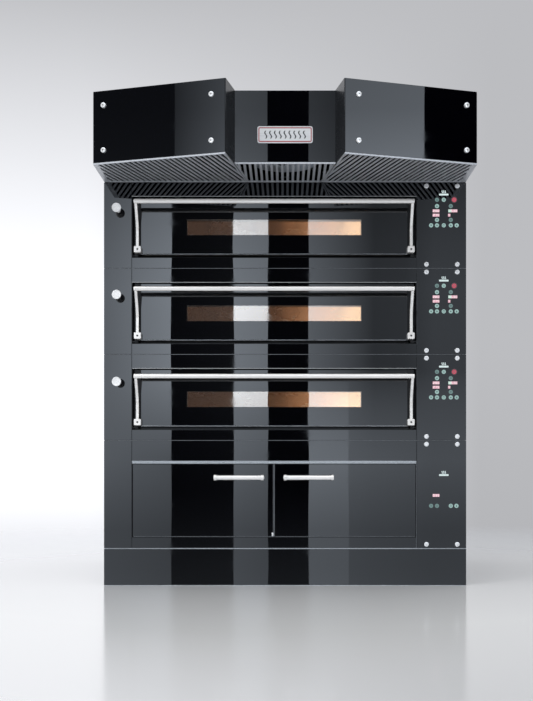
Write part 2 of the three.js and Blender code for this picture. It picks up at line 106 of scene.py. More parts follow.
def moved_in(outline: Outline, distance: float) -> Outline:
    """A counter-clockwise outline with every edge moved inwards.

    Args:
        outline: The corners.
        distance: How far each edge moves. A negative one moves it outwards.

    Returns:
        The new corners, one for each old one.
    """
    points = [Vector(point) for point in outline]
    count = len(points)
    result: Outline = []
    for i, point in enumerate(points):
        before = (point - points[i - 1]).normalized()
        after = (points[(i + 1) % count] - point).normalized()
        inward = Vector((-before.y - after.y, before.x + after.x))
        inward *= distance / max(1 + before.dot(after), 0.2)
        result.append((point.x + inward.x, point.y + inward.y))
    return result


def clipped(outline: Outline, through: Vector, keep: Vector) -> Outline:
    """The part of a convex outline on one side of a line.

    Args:
        outline: The corners.
        through: A point of the line.
        keep: The direction, square to the line, of the side that stays.

    Returns:
        The corners of what stays, which may be none.
    """
    result: Outline = []
    for i, point in enumerate(outline):
        last = Vector(outline[i - 1])
        here = Vector(point)
        last_side = (last - through).dot(keep)
        side = (here - through).dot(keep)
        if last_side * side < 0:
            crossing = last.lerp(here, last_side / (last_side - side))
            result.append((crossing.x, crossing.y))
        if side >= 0:
            result.append(point)
    return result


@dataclass(frozen=True)
class Plane:
    """A drawing plane: an origin, two directions across it and one through it."""

    origin: Vector
    u: Vector
    v: Vector
    w: Vector

    def at(self, u: float, v: float, w: float) -> Vector:
        """The point at these distances along the three directions."""
        return self.origin + self.u * u + self.v * v + self.w * w


ZERO = Vector((0, 0, 0))
RIGHT, BACK, UP = Vector((1, 0, 0)), Vector((0, 1, 0)), Vector((0, 0, 1))
FRONT = Plane(ZERO, RIGHT, UP, BACK)
SIDE = Plane(ZERO, BACK, UP, RIGHT)
PLAN = Plane(ZERO, RIGHT, BACK, UP)


class Shape:
    """Closed solids gathered into one mesh, in a module's millimetres."""

    SHARP = math.radians(32)

    def __init__(self) -> None:
        """Starts with nothing in it."""
        self.mesh = bmesh.new()

    def take(self, part: bmesh.types.BMesh) -> None:
        """Adds a closed solid, with its faces turned outwards and its corners kept crisp.

        Args:
            part: The solid, which is used up.
        """
        bmesh.ops.recalc_face_normals(part, faces=part.faces)
        for edge in part.edges:
            edge.smooth = edge.calc_face_angle(math.pi) < self.SHARP
        carrier = bpy.data.meshes.new("carrier")
        part.to_mesh(carrier)
        part.free()
        self.mesh.from_mesh(carrier)
        bpy.data.meshes.remove(carrier)

    def extrude(
        self,
        outline: Outline,
        span: Span,
        plane: Plane = FRONT,
        holes: Sequence[Outline] = (),
        arris: float = 0.6,
    ) -> "Shape":
        """Adds a plate with a small chamfer round each of its two faces.

        Args:
            outline: Its counter-clockwise outline on the plane.
            span: Where it starts and ends through the plane.
            plane: The drawing plane.
            holes: Counter-clockwise outlines of holes that go right through.
            arris: The chamfer's size.

        Returns:
            This shape.
        """
        part = bmesh.new()
        low, high = span
        layers = [(low, arris), (low + arris, 0.0), (high - arris, 0.0), (high, arris)]
        rings = []
        for depth, shrink in layers:
            loops = [moved_in(outline, shrink)] + [moved_in(hole, -shrink) for hole in holes]
            rings.append([[part.verts.new(plane.at(u, v, depth)) for u, v in loop] for loop in loops])
        for lower, upper in zip(rings, rings[1:]):
            for loop, above in zip(lower, upper):
                for i in range(len(loop)):
                    face = part.faces.new((loop[i - 1], loop[i], above[i], above[i - 1]))
                    face.smooth = True
        for ring in (rings[0], rings[-1]):
            if not holes:
                part.faces.new(ring[0])
                continue
            edges = [part.edges.get((loop[i - 1], loop[i])) for loop in ring for i in range(len(loop))]
            bmesh.ops.triangle_fill(part, use_beauty=True, use_dissolve=False, edges=edges)
        self.take(part)
        return self

    def slab(self, x: Span, y: Span, z: Span, arris: float = 0.6) -> "Shape":
        """Adds an upright plate between two values on each axis."""
        return self.extrude(rectangle(x, z), y, arris=arris)

    def turn(
        self,
        profile: Sequence[Point],
        origin: Sequence[float],
        axis: Vector,
        sides: int = 32,
    ) -> "Shape":
        """Adds a turned solid.

        Args:
            profile: Points of radius and height, from axis to axis or closed on itself.
            origin: Where height 0 is.
            axis: The direction of the height.
            sides: Facets round it.

        Returns:
            This shape.
        """
        part = bmesh.new()
        place = Matrix.Translation(Vector(origin)) @ axis.to_track_quat("Z", "Y").to_matrix().to_4x4()
        closed = profile[0] == profile[-1]
        rings = []
        for radius, height in profile[: -1 if closed else None]:
            round_points = circle((0, 0), radius, sides) if radius > 0 else [(0.0, 0.0)]
            rings.append([part.verts.new(place @ Vector((x, y, height))) for x, y in round_points])
        pairs = list(zip(rings, rings[1:] + rings[:1])) if closed else list(zip(rings, rings[1:]))
        for lower, upper in pairs:
            for i in range(sides):
                corners = (lower[i - 1 if len(lower) > 1 else 0], lower[i if len(lower) > 1 else 0],
                           upper[i if len(upper) > 1 else 0], upper[i - 1 if len(upper) > 1 else 0])
                distinct = list(dict.fromkeys(corners))
                if len(distinct) > 2:
                    part.faces.new(distinct).smooth = True
        self.take(part)
        return self

    def rod(self, path: Sequence[Sequence[float]], radius: float, sides: int = 12,
            closed: bool = False) -> "Shape":
        """Adds a round rod along a path.

        Args:
            path: Points of its centre line.
            radius: The rod's radius.
            sides: Facets round it.
            closed: True if the last point leads back to the first.

        Returns:
            This shape.
        """
        part = bmesh.new()
        points = [Vector(point) for point in path]
        last = len(points) - 1
        across = None
        rings = []
        for i, point in enumerate(points):
            before = points[i - 1] if closed or i else point
            after = points[(i + 1) % len(points)] if closed or i < last else point
            along = (after - before).normalized()
            if across is None:
                across = along.orthogonal()
            across = (across - along * across.dot(along)).normalized()
            third = along.cross(across)
            ring = circle((0, 0), radius, sides)
            rings.append([part.verts.new(point + across * u + third * v) for u, v in ring])
        pairs = zip(rings, rings[1:] + rings[:1]) if closed else zip(rings, rings[1:])
        for lower, upper in pairs:
            for i in range(sides):
                part.faces.new((lower[i - 1], lower[i], upper[i], upper[i - 1])).smooth = True
        if not closed:
            part.faces.new(rings[0])
            part.faces.new(rings[-1])
        self.take(part)
        return self


# ---- Shared shader effects ----
class Nodes:
    """Places nodes in a material, world or node group and wires them up."""

    def __init__(self, tree: NodeTree) -> None:
        """Works on this node tree."""
        self.tree = tree

    def add(self, kind: str, **values: object) -> bpy.types.Node:
        """Adds a node.

        Args:
            kind: The node's type, without its ShaderNode prefix.
            values: Properties in lower case, and inputs by name, with _ for a space. A socket is linked.

        Returns:
            The node.
        """
        node = self.tree.nodes.new("ShaderNode" + kind)
        for key, value in values.items():
            if key[0].islower():
                setattr(node, key, value)
                continue
            socket = self.input(node, key)
            if isinstance(value, Socket):
                self.tree.links.new(value, socket)
            else:
                socket.default_value = value
        return node

    def link(self, source: Socket, target: Socket) -> None:
        """Links an output to an input."""
        self.tree.links.new(source, target)

    @staticmethod
    def input(node: bpy.types.Node, key: str) -> Socket:
        """A node's input, by its name with _ for a space, or by In and its number.

        Args:
            node: The node.
            key: The input's name or number, as in add.

        Returns:
            The input socket.
        """
        if key.startswith("In") and key[2:].isdigit():
            return node.inputs[int(key[2:])]
        return node.inputs[key.replace("_", " ")]

    def math(self, operation: str, *values: object) -> Socket:
        """The result of a Math node."""
        inputs = {f"In{i}": value for i, value in enumerate(values)}
        return self.add("Math", operation=operation, **inputs).outputs[0]

    def between(self, factor: object, low: object, high: object) -> Socket:
        """A value part of the way from low to high."""
        return self.add("Mix", In0=factor, In2=low, In3=high).outputs[0]

    def mapped(self, value: object, source: Span, target: Span = (0.0, 1.0)) -> Socket:
        """A value carried from one range to another, and held at its ends."""
        ends = {f"In{i + 1}": end for i, end in enumerate((*source, *target))}
        return self.add("MapRange", In0=value, **ends).outputs[0]

    def group(self, tree: NodeTree, **values: object) -> bpy.types.Node:
        """Places a node group, with its inputs given as in add.

        Args:
            tree: The group.
            values: Its inputs, as in add.

        Returns:
            The group's node.
        """
        node = self.tree.nodes.new("ShaderNodeGroup")
        node.node_tree = tree
        for key, value in values.items():
            socket = node.inputs[key.replace("_", " ")]
            if isinstance(value, Socket):
                self.tree.links.new(value, socket)
            else:
                socket.default_value = value
        return node

    def ramp(self, factor: Socket,
             stops: Sequence[tuple[float, Colour]]) -> Socket:
        """The colour of a ramp.

        Args:
            factor: What drives it, from 0 to 1.
            stops: Positions and linear colours, in rising order.

        Returns:
            Its colour output.
        """
        node = self.add("ValToRGB")
        self.tree.links.new(factor, node.inputs[0])
        elements = node.color_ramp.elements
        while len(elements) > 1:
            elements.remove(elements[-1])
        elements[0].position = stops[0][0]
        elements[0].color = (*stops[0][1], 1)
        for position, colour in stops[1:]:
            elements.new(position).color = (*colour, 1)
        return node.outputs[0]


class Effects:
    """The node groups that several finishes share. Each is built once."""

    made: dict[str, NodeTree] = {}

    @classmethod
    def start(cls, name: str, inputs: dict[str, object],
              outputs: Sequence[str]) -> tuple[Nodes, bpy.types.Node, bpy.types.Node]:
        """Makes an empty group.

        Args:
            name: The group's name.
            inputs: Its inputs with their defaults: a number, or three numbers for a stretch or colour.
            outputs: Its outputs. One called Color is a colour, and the others are values.

        Returns:
            The group's nodes, its input node and its output node.
        """
        tree = bpy.data.node_groups.new(name, "ShaderNodeTree")
        for key, value in inputs.items():
            kind = "NodeSocketFloat"
            if isinstance(value, tuple):
                kind = "NodeSocketVector" if len(value) == 3 else "NodeSocketColor"
            tree.interface.new_socket(key, in_out="INPUT", socket_type=kind).default_value = value
        for key in outputs:
            kind = "NodeSocketColor" if key == "Color" else "NodeSocketFloat"
            tree.interface.new_socket(key, in_out="OUTPUT", socket_type=kind)
        cls.made[name] = tree
        return Nodes(tree), tree.nodes.new("NodeGroupInput"), tree.nodes.new("NodeGroupOutput")

    @staticmethod
    def noise(nodes: Nodes, stretch: object, scale: object, detail: float) -> Socket:
        """Noise over the object's own coordinates, stretched.

        Args:
            nodes: The nodes of the tree.
            stretch: How many times finer it is along each axis.
            scale: Its scale.
            detail: Its octaves.

        Returns:
            The noise, from 0 to 1.
        """
        place = nodes.add("TexCoord").outputs["Object"]
        spread = nodes.add("VectorMath", operation="MULTIPLY", In0=place, In1=stretch).outputs[0]
        return nodes.add("TexNoise", Vector=spread, Scale=scale, Detail=detail, Roughness=0.6).outputs["Fac"]

    @classmethod
    def roller_wave(cls) -> NodeTree:
        """The faint waviness that toughened glass keeps from its rollers.

        Returns:
            The group, built the first time.
        """
        if "roller wave" not in cls.made:
            inputs = {"Stretch": (1.0, 1.0, 1.0), "Scale": 3.0}
            nodes, given, out = cls.start("roller wave", inputs, ["Height"])
            waves = cls.noise(nodes, given.outputs["Stretch"], given.outputs["Scale"], 1.0)
            nodes.link(waves, out.inputs["Height"])
        return cls.made["roller wave"]

    @classmethod
    def smears(cls) -> NodeTree:
        """Wiped smears: patches where the surface is less clean.

        Returns:
            The group, built the first time.
        """
        if "smears" not in cls.made:
            inputs = {"Clean": 0.02, "Smeared": 0.08, "Scale": 5.0}
            nodes, given, out = cls.start("smears", inputs, ["Roughness"])
            patches = cls.noise(nodes, (1.0, 1.0, 2.6), given.outputs["Scale"], 6.0)
            result = nodes.add("MapRange", In0=patches, In1=0.48, In2=0.72,
                               In3=given.outputs["Clean"], In4=given.outputs["Smeared"])
            nodes.link(result.outputs[0], out.inputs["Roughness"])
        return cls.made["smears"]

    @classmethod
    def brushing(cls) -> NodeTree:
        """Fine brushed lines, drawn out by the stretch.

        Returns:
            The group, built the first time.
        """
        if "brushing" not in cls.made:
            inputs = {"Stretch": (1.0, 60.0, 60.0), "Scale": 20.0, "Low": 0.2, "High": 0.4}
            nodes, given, out = cls.start("brushing", inputs, ["Roughness", "Height"])
            lines = cls.noise(nodes, given.outputs["Stretch"], given.outputs["Scale"], 4.0)
            result = nodes.add("MapRange", In0=lines, In1=0.3, In2=0.7,
                               In3=given.outputs["Low"], In4=given.outputs["High"])
            nodes.link(result.outputs[0], out.inputs["Roughness"])
            nodes.link(lines, out.inputs["Height"])
        return cls.made["brushing"]

    @classmethod
    def mottle(cls) -> NodeTree:
        """Two tones of a colour in soft patches, and the patches as a height.

        Returns:
            The group, built the first time.
        """
        if "mottle" not in cls.made:
            inputs = {"Light": (0.5, 0.5, 0.5, 1.0), "Dark": (0.2, 0.2, 0.2, 1.0), "Scale": 8.0,
                      "Stretch": (1.0, 1.0, 1.0)}
            nodes, given, out = cls.start("mottle", inputs, ["Color", "Height"])
            patches = cls.noise(nodes, given.outputs["Stretch"], given.outputs["Scale"], 8.0)
            sharper = nodes.add("MapRange", In0=patches, In1=0.35, In2=0.65, In3=0.0, In4=1.0).outputs[0]
            mixed = nodes.add("Mix", data_type="RGBA", In0=sharper)
            nodes.link(given.outputs["Dark"], mixed.inputs[6])
            nodes.link(given.outputs["Light"], mixed.inputs[7])
            nodes.link(mixed.outputs[2], out.inputs["Color"])
            nodes.link(patches, out.inputs["Height"])
        return cls.made["mottle"]


# ---- Finishes ----
@dataclass(frozen=True)
class Finish:
    """A surface finish. Its slot, mostly its own name and sometimes another or none, is not used."""

    name: str
    slot: str | None = None
    tint: Colour = (0.5, 0.5, 0.5)
    metallic: float = 0.0
    clean: float = 0.3
    worn: float = 0.4
    grain: float = 5.0

    def material(self) -> bpy.types.Material:
        """The Blender material, made the first time.

        Returns:
            The material.
        """
        known = bpy.data.materials.get("finish_" + self.name)
        if known:
            return known
        made = bpy.data.materials.new("finish_" + self.name)
        made.use_nodes = True
        nodes = Nodes(made.node_tree)
        surface = made.node_tree.nodes["Principled BSDF"]
        surface.inputs["Base Color"].default_value = (*self.tint, 1)
        surface.inputs["Metallic"].default_value = self.metallic
        self.dress(nodes, surface)
        return made

    def smeared(self, nodes: Nodes, surface: bpy.types.Node) -> None:
        """Gives the surface a roughness that runs from clean to worn in patches."""
        smears = nodes.group(Effects.smears(), Clean=self.clean, Smeared=self.worn, Scale=self.grain)
        nodes.link(smears.outputs[0], surface.inputs["Roughness"])

    def relief(self, nodes: Nodes, surface: bpy.types.Node, height: Socket,
               strength: float, depth: float) -> None:
        """Bumps the surface.

        Args:
            nodes: The material's nodes.
            surface: Its shader.
            height: The relief, from 0 to 1.
            strength: The bump's strength.
            depth: The relief's depth in metres.
        """
        bump = nodes.add("Bump", Strength=strength, Distance=depth, Height=height)
        nodes.link(bump.outputs[0], surface.inputs["Normal"])

    def dress(self, nodes: Nodes, surface: bpy.types.Node) -> None:
        """Wires the finish up. A plain finish only has smears."""
        self.smeared(nodes, surface)


@dataclass(frozen=True)
class MirrorGlass(Finish):
    """Back-painted black glass, polished like a mirror, with a faint roller wave."""

    index: float = 1.9
    wave: float = 0.00016

    def dress(self, nodes: Nodes, surface: bpy.types.Node) -> None:
        """Wires up the mirror gloss.

        Args:
            nodes: The nodes of the tree.
            surface: The material's shader.
        """
        self.smeared(nodes, surface)
        surface.inputs["IOR"].default_value = self.index
        waves = nodes.group(Effects.roller_wave(), Stretch=(1.0, 1.0, 0.6), Scale=3.2)
        self.relief(nodes, surface, waves.outputs[0], 1.0, self.wave)


@dataclass(frozen=True)
class ClearGlass(Finish):
    """A pane that light goes through, clear or frosted, perhaps half mirrored."""

    index: float = 1.5
    wave: float = 0.0001

    def dress(self, nodes: Nodes, surface: bpy.types.Node) -> None:
        """Wires up the pane.

        Args:
            nodes: The nodes of the tree.
            surface: The material's shader.
        """
        self.smeared(nodes, surface)
        surface.inputs["IOR"].default_value = self.index
        surface.inputs["Transmission Weight"].default_value = 1.0
        waves = nodes.group(Effects.roller_wave(), Scale=3.2)
        self.relief(nodes, surface, waves.outputs[0], 1.0, self.wave)


@dataclass(frozen=True)
class CoatedSteel(Finish):
    """Powder-coated or enamelled sheet, with the coat's fine orange-peel surface."""

    peel: float = 0.00004

    def dress(self, nodes: Nodes, surface: bpy.types.Node) -> None:
        """Wires up the coat.

        Args:
            nodes: The nodes of the tree.
            surface: The material's shader.
        """
        self.smeared(nodes, surface)
        darker = tuple(0.6 * value for value in self.tint)
        coat = nodes.group(Effects.mottle(), Light=(*self.tint, 1), Dark=(*darker, 1), Scale=6.0)
        nodes.link(coat.outputs["Color"], surface.inputs["Base Color"])
        peel = nodes.group(Effects.mottle(), Scale=260.0)
        self.relief(nodes, surface, peel.outputs["Height"], 0.5, self.peel)


@dataclass(frozen=True)
class BrushedSteel(Finish):
    """Stainless steel with brushed lines along one direction."""

    stretch: tuple[float, float, float] = (1.0, 60.0, 60.0)
    depth: float = 0.00003

    def dress(self, nodes: Nodes, surface: bpy.types.Node) -> None:
        """Wires up the brushing and a faint variation of tone.

        Args:
            nodes: The nodes of the tree.
            surface: The material's shader.
        """
        lines = nodes.group(Effects.brushing(), Stretch=self.stretch, Scale=self.grain,
                            Low=self.clean, High=self.worn)
        nodes.link(lines.outputs["Roughness"], surface.inputs["Roughness"])
        self.relief(nodes, surface, lines.outputs["Height"], 0.4, self.depth)
        darker = tuple(0.86 * value for value in self.tint)
        tone = nodes.group(Effects.mottle(), Light=(*self.tint, 1), Dark=(*darker, 1), Scale=4.0,
                           Stretch=self.stretch)
        nodes.link(tone.outputs["Color"], surface.inputs["Base Color"])


@dataclass(frozen=True)
class Patchy(Finish):
    """A finish in two tones with relief, such as stone, galvanised sheet or moulded plastic."""

    shade: Colour = (0.2, 0.2, 0.2)
    depth: float = 0.0003

    def dress(self, nodes: Nodes, surface: bpy.types.Node) -> None:
        """Wires up the two tones, the smears and the relief.

        Args:
            nodes: The nodes of the tree.
            surface: The material's shader.
        """
        self.smeared(nodes, surface)
        patches = nodes.group(Effects.mottle(), Light=(*self.tint, 1), Dark=(*self.shade, 1),
                              Scale=self.grain)
        nodes.link(patches.outputs["Color"], surface.inputs["Base Color"])
        fine = nodes.group(Effects.mottle(), Scale=self.grain * 12)
        self.relief(nodes, surface, fine.outputs["Height"], 0.6, self.depth)


@dataclass(frozen=True)
class PaintedGlowSteel(Patchy):
    """The chamber's steel, with a painted glow in its emission that stands in for the lamp at the right end:
    it rises from left to right.
    """

    strength: float = 1.0
    reach: Span = (-0.65, 0.55)

    def dress(self, nodes: Nodes, surface: bpy.types.Node) -> None:
        """Wires up the steel and the painted glow on it, which stands in for the lamp's light.

        Args:
            nodes: The nodes of the tree.
            surface: The material's shader.
        """
        super().dress(nodes, surface)
        # Painted light: an emission ramp across x makes the steel glow brighter towards the lamp at the right
        # end.
        place = nodes.add("TexCoord").outputs["Object"]
        across = nodes.add("SeparateXYZ", Vector=place).outputs[0]
        share = nodes.add("MapRange", In0=across, In1=self.reach[0], In2=self.reach[1]).outputs[0]
        painted_glow = nodes.ramp(share, [
            (0.0, (0.034, 0.019, 0.013)), (0.30, (0.045, 0.025, 0.016)), (0.525, (0.048, 0.026, 0.017)),
            (0.55, (0.16, 0.078, 0.042)), (0.63, (0.25, 0.13, 0.072)), (0.72, (0.44, 0.24, 0.14)),
            (0.82, (0.85, 0.58, 0.36)), (1.0, (1.0, 0.75, 0.46)),
        ])
        nodes.link(painted_glow, surface.inputs["Emission Color"])
        surface.inputs["Emission Strength"].default_value = self.strength


@dataclass(frozen=True)
class Lit(Finish):
    """A lit symbol, display or lens, with a little unevenness in its light."""

    strength: float = 1.0

    def dress(self, nodes: Nodes, surface: bpy.types.Node) -> None:
        """Wires up the light.

        Args:
            nodes: The nodes of the tree.
            surface: The material's shader.
        """
        self.smeared(nodes, surface)
        dimmer = tuple(0.82 * value for value in self.tint)
        light = nodes.group(Effects.mottle(), Light=(*self.tint, 1), Dark=(*dimmer, 1), Scale=90.0)
        nodes.link(light.outputs["Color"], surface.inputs["Emission Color"])
        surface.inputs["Base Color"].default_value = (0.02, 0.02, 0.02, 1)
        surface.inputs["Emission Strength"].default_value = self.strength


BLACK_GLASS = MirrorGlass("black_mirror_glass", "black_mirror_glass", (0.0006, 0.0006, 0.0012),
                          clean=0.004, worn=0.03, grain=4.0)
WINDOW_GLASS = ClearGlass("window_glass", None, (0.95, 0.91, 0.85), metallic=0.32, clean=0.004, worn=0.03)
FROSTED_GLASS = ClearGlass("frosted_glass", None, (0.96, 0.93, 0.88), clean=0.26, worn=0.34, index=1.4)
BLACK_STEEL = CoatedSteel("black_steel", "black_steel", (0.012, 0.0125, 0.014), clean=0.22, worn=0.34)
BLACK_ENAMEL = CoatedSteel("black_enamel", "black_enamel", (0.006, 0.006, 0.0065), clean=0.3, worn=0.42)
BAR_STEEL = BrushedSteel("brushed_steel_bar", "brushed_steel_bar", (1.0, 0.97, 0.94), 0.5,
                         clean=0.16, worn=0.24, grain=14.0, stretch=(1.0, 20.0, 20.0), depth=0.000004)
LIP_STEEL = BrushedSteel("edge_steel", "brushed_steel_bar", (0.8, 0.8, 0.8), 1.0,
                         clean=0.22, worn=0.34, grain=14.0)
GRILLE_STEEL = BrushedSteel("grille_steel", "grille_steel", (0.56, 0.585, 0.63), 0.4,
                            clean=0.3, worn=0.42, grain=12.0, stretch=(30.0, 1.5, 30.0))
SHELF_STEEL = BrushedSteel("shelf_steel", "shelf_steel", (0.6, 0.6, 0.6), 1.0, clean=0.28, worn=0.4)
CHROME = Finish("polished_chrome", "polished_chrome", (0.98, 0.98, 0.98), 0.6, 0.12, 0.2, 40.0)
ALUMINIUM = BrushedSteel("turned_aluminium", "turned_aluminium", (0.98, 0.98, 0.98), 0.45,
                         clean=0.26, worn=0.36, grain=30.0, stretch=(12.0, 1.0, 12.0))
SEAM_STEEL = BrushedSteel("seam_steel", None, (0.22, 0.23, 0.245), 0.6, clean=0.4, worn=0.5, grain=14.0)
# The chamber's steel glows with painted light, an emission ramp that stands in for the lamp's light.
CHAMBER_STEEL_PAINTED_GLOW = PaintedGlowSteel("chamber_steel", "chamber_steel", (0.36, 0.28, 0.2), 0.7, 0.42, 0.6, 7.0,
                             shade=(0.2, 0.14, 0.09), depth=0.0001, strength=2.0)
STONE = Patchy("baking_stone", "baking_stone", (0.55, 0.46, 0.34), 0.0, 0.86, 0.97, 9.0,
               shade=(0.38, 0.29, 0.2))
ELEMENT = Patchy("element_steel", "element_steel", (0.17, 0.15, 0.14), 0.8, 0.4, 0.6, 14.0,
                 shade=(0.09, 0.075, 0.07), depth=0.0001)
LAMP_LENS = Lit("lamp_glass", "lamp_glass", (1.0, 0.74, 0.42), clean=0.2, worn=0.3, strength=3.0)
GALVANISED = Patchy("galvanised_duct", "galvanised_duct", (0.62, 0.64, 0.66), 0.9, 0.3, 0.46, 22.0,
                    shade=(0.46, 0.48, 0.51), depth=0.00005)
PLASTIC = Patchy("black_plastic", "black_plastic", (0.022, 0.022, 0.024), 0.0, 0.42, 0.56, 30.0,
                 shade=(0.015, 0.015, 0.017), depth=0.0001)
ROPE = Patchy("gasket_rope", None, (0.09, 0.085, 0.08), 0.0, 0.85, 0.95, 60.0,
              shade=(0.035, 0.033, 0.03), depth=0.0008)
KEY_LIGHT = Lit("key_light", None, (0.36, 0.55, 0.52), strength=0.95)
KEY_DIM = Lit("key_dim", None, (0.16, 0.27, 0.26), strength=0.9)
KEY_RED = Lit("key_red", None, (0.62, 0.07, 0.12), strength=1.0)
KEY_HALO = Lit("key_halo", None, (0.13, 0.06, 0.075), strength=0.9)
GLYPH_DARK = Lit("key_glyph", None, (0.12, 0.2, 0.2), strength=0.7)
MARK_LIGHT = Lit("mark_light", None, (0.72, 0.86, 0.86), strength=1.0)
PANEL_PINK = Lit("display_field", None, (0.84, 0.45, 0.54), strength=1.0)
PANEL_MINT = Lit("display_mint", None, (0.62, 0.82, 0.72), strength=1.0)
DIGIT_LIGHT = Lit("display_digits", None, (1.0, 0.93, 0.94), strength=1.1)
PLATE_RED = CoatedSteel("plate_enamel", None, (0.30, 0.012, 0.02), clean=0.15, worn=0.25)
PLATE_STEEL = BrushedSteel("plate_steel", None, (0.72, 0.73, 0.74), 0.5, clean=0.3, worn=0.4, grain=14.0)


# ---- Modules ----
@dataclass(frozen=True)
class Extent:
    """Where a design node lies, in its module's millimetres."""

    x: Span
    y: Span
    z: Span


@dataclass
class Module:
    """A module of the oven. Its pieces are drawn in its own millimetres and put into the shared frame."""

    base: float

    def extent(self, node: str) -> Extent:
        """Where a design node lies.

        Args:
            node: The node's name.

        Returns:
            Its box in this module's millimetres.
        """
        low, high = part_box(node)
        shift = Vector((0, FRONT_Y, self.base))
        low, high = (low - shift) / MM, (high - shift) / MM
        return Extent((low.x, high.x), (low.y, high.y), (low.z, high.z))

    def place(self, shape: Shape, name: str, finish: Finish, body: str = "oven",
              replaces: Sequence[str] = ()) -> bpy.types.Object:
        """Puts a shape into the scene as a piece.

        Args:
            shape: The shape, which is used up.
            name: The piece's name.
            finish: Its finish.
            body: The body it moves with.
            replaces: The design nodes it stands for.

        Returns:
            The piece.
        """
        mesh = bpy.data.meshes.new(name)
        placing = Matrix.Translation((0, FRONT_Y, self.base)) @ Matrix.Scale(MM, 4)
        bmesh.ops.transform(shape.mesh, matrix=placing, verts=shape.mesh.verts)
        shape.mesh.to_mesh(mesh)
        shape.mesh.free()
        mesh.materials.append(finish.material())
        piece = bpy.data.objects.new(name, mesh)
        bpy.context.scene.collection.objects.link(piece)
        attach(piece, body)
        if replaces:
            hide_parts(*replaces)
        log.info("%s: %d faces, on %s", name, len(mesh.polygons), body)
        return piece

    @staticmethod
    def keep(node: str, finish: Finish) -> None:
        """Shows a design node as it is, in a finish.

        Args:
            node: The node's name.
            finish: Its finish.
        """
        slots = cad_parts[node].data.materials
        slots.clear()
        slots.append(finish.material())
        log.info("%s: design node in %s", node, finish.name)


def screw_head(shape: Shape, origin: Sequence[float], axis: Vector, radius: float = 4.2,
               rise: float = 0.7) -> None:
    """Adds a low round screw head with a recess, its axis pointing away from the sheet.

    Args:
        shape: The shape to add to.
        origin: Its seat.
        axis: Its axis.
        radius: Its radius.
        rise: Its height.
    """
    profile = [(0, 0), (radius, 0), (radius, rise * 0.5), (radius * 0.8, rise), (radius * 0.4, rise),
               (radius * 0.3, rise * 0.4), (0, rise * 0.4)]
    shape.turn(profile, origin, axis, 20)


def louvre(shape: Shape, plane: Plane, middle: Point, length: float, rise: float) -> None:
    """Adds one pressed louvre: a long wedge that opens downwards.

    Args:
        shape: What it is added to.
        plane: The sheet's plane, with w pointing away from the sheet.
        middle: Its middle on the sheet.
        length: How long it is.
        rise: How far it stands off.
    """
    u, v = middle
    half = length / 2
    section = Plane(plane.at(u, v, 0), plane.v, plane.w, plane.u)
    shape.extrude([(-6, 0.0), (7, 0.0), (3, rise * 0.7), (-6, rise)], (-half, half), section, arris=0.3)


class Glyph(Enum):
    """What is drawn on a touch key."""

    UP = "up"
    DOWN = "down"
    RING = "ring"
    BARS = "bars"
    DROP = "drop"


@dataclass(frozen=True)
class Key:
    """A round touch key on a control panel."""

    x: float
    z: float
    glyph: Glyph
    finish: Finish = KEY_LIGHT
    radius: float = 9.25


@dataclass(frozen=True)
class Display:
    """A small digital display on a control panel, with its digits."""

    x: float
    z: float
    width: float
    digits: str
    height: float = 12.5
    mint_share: float = 0.0


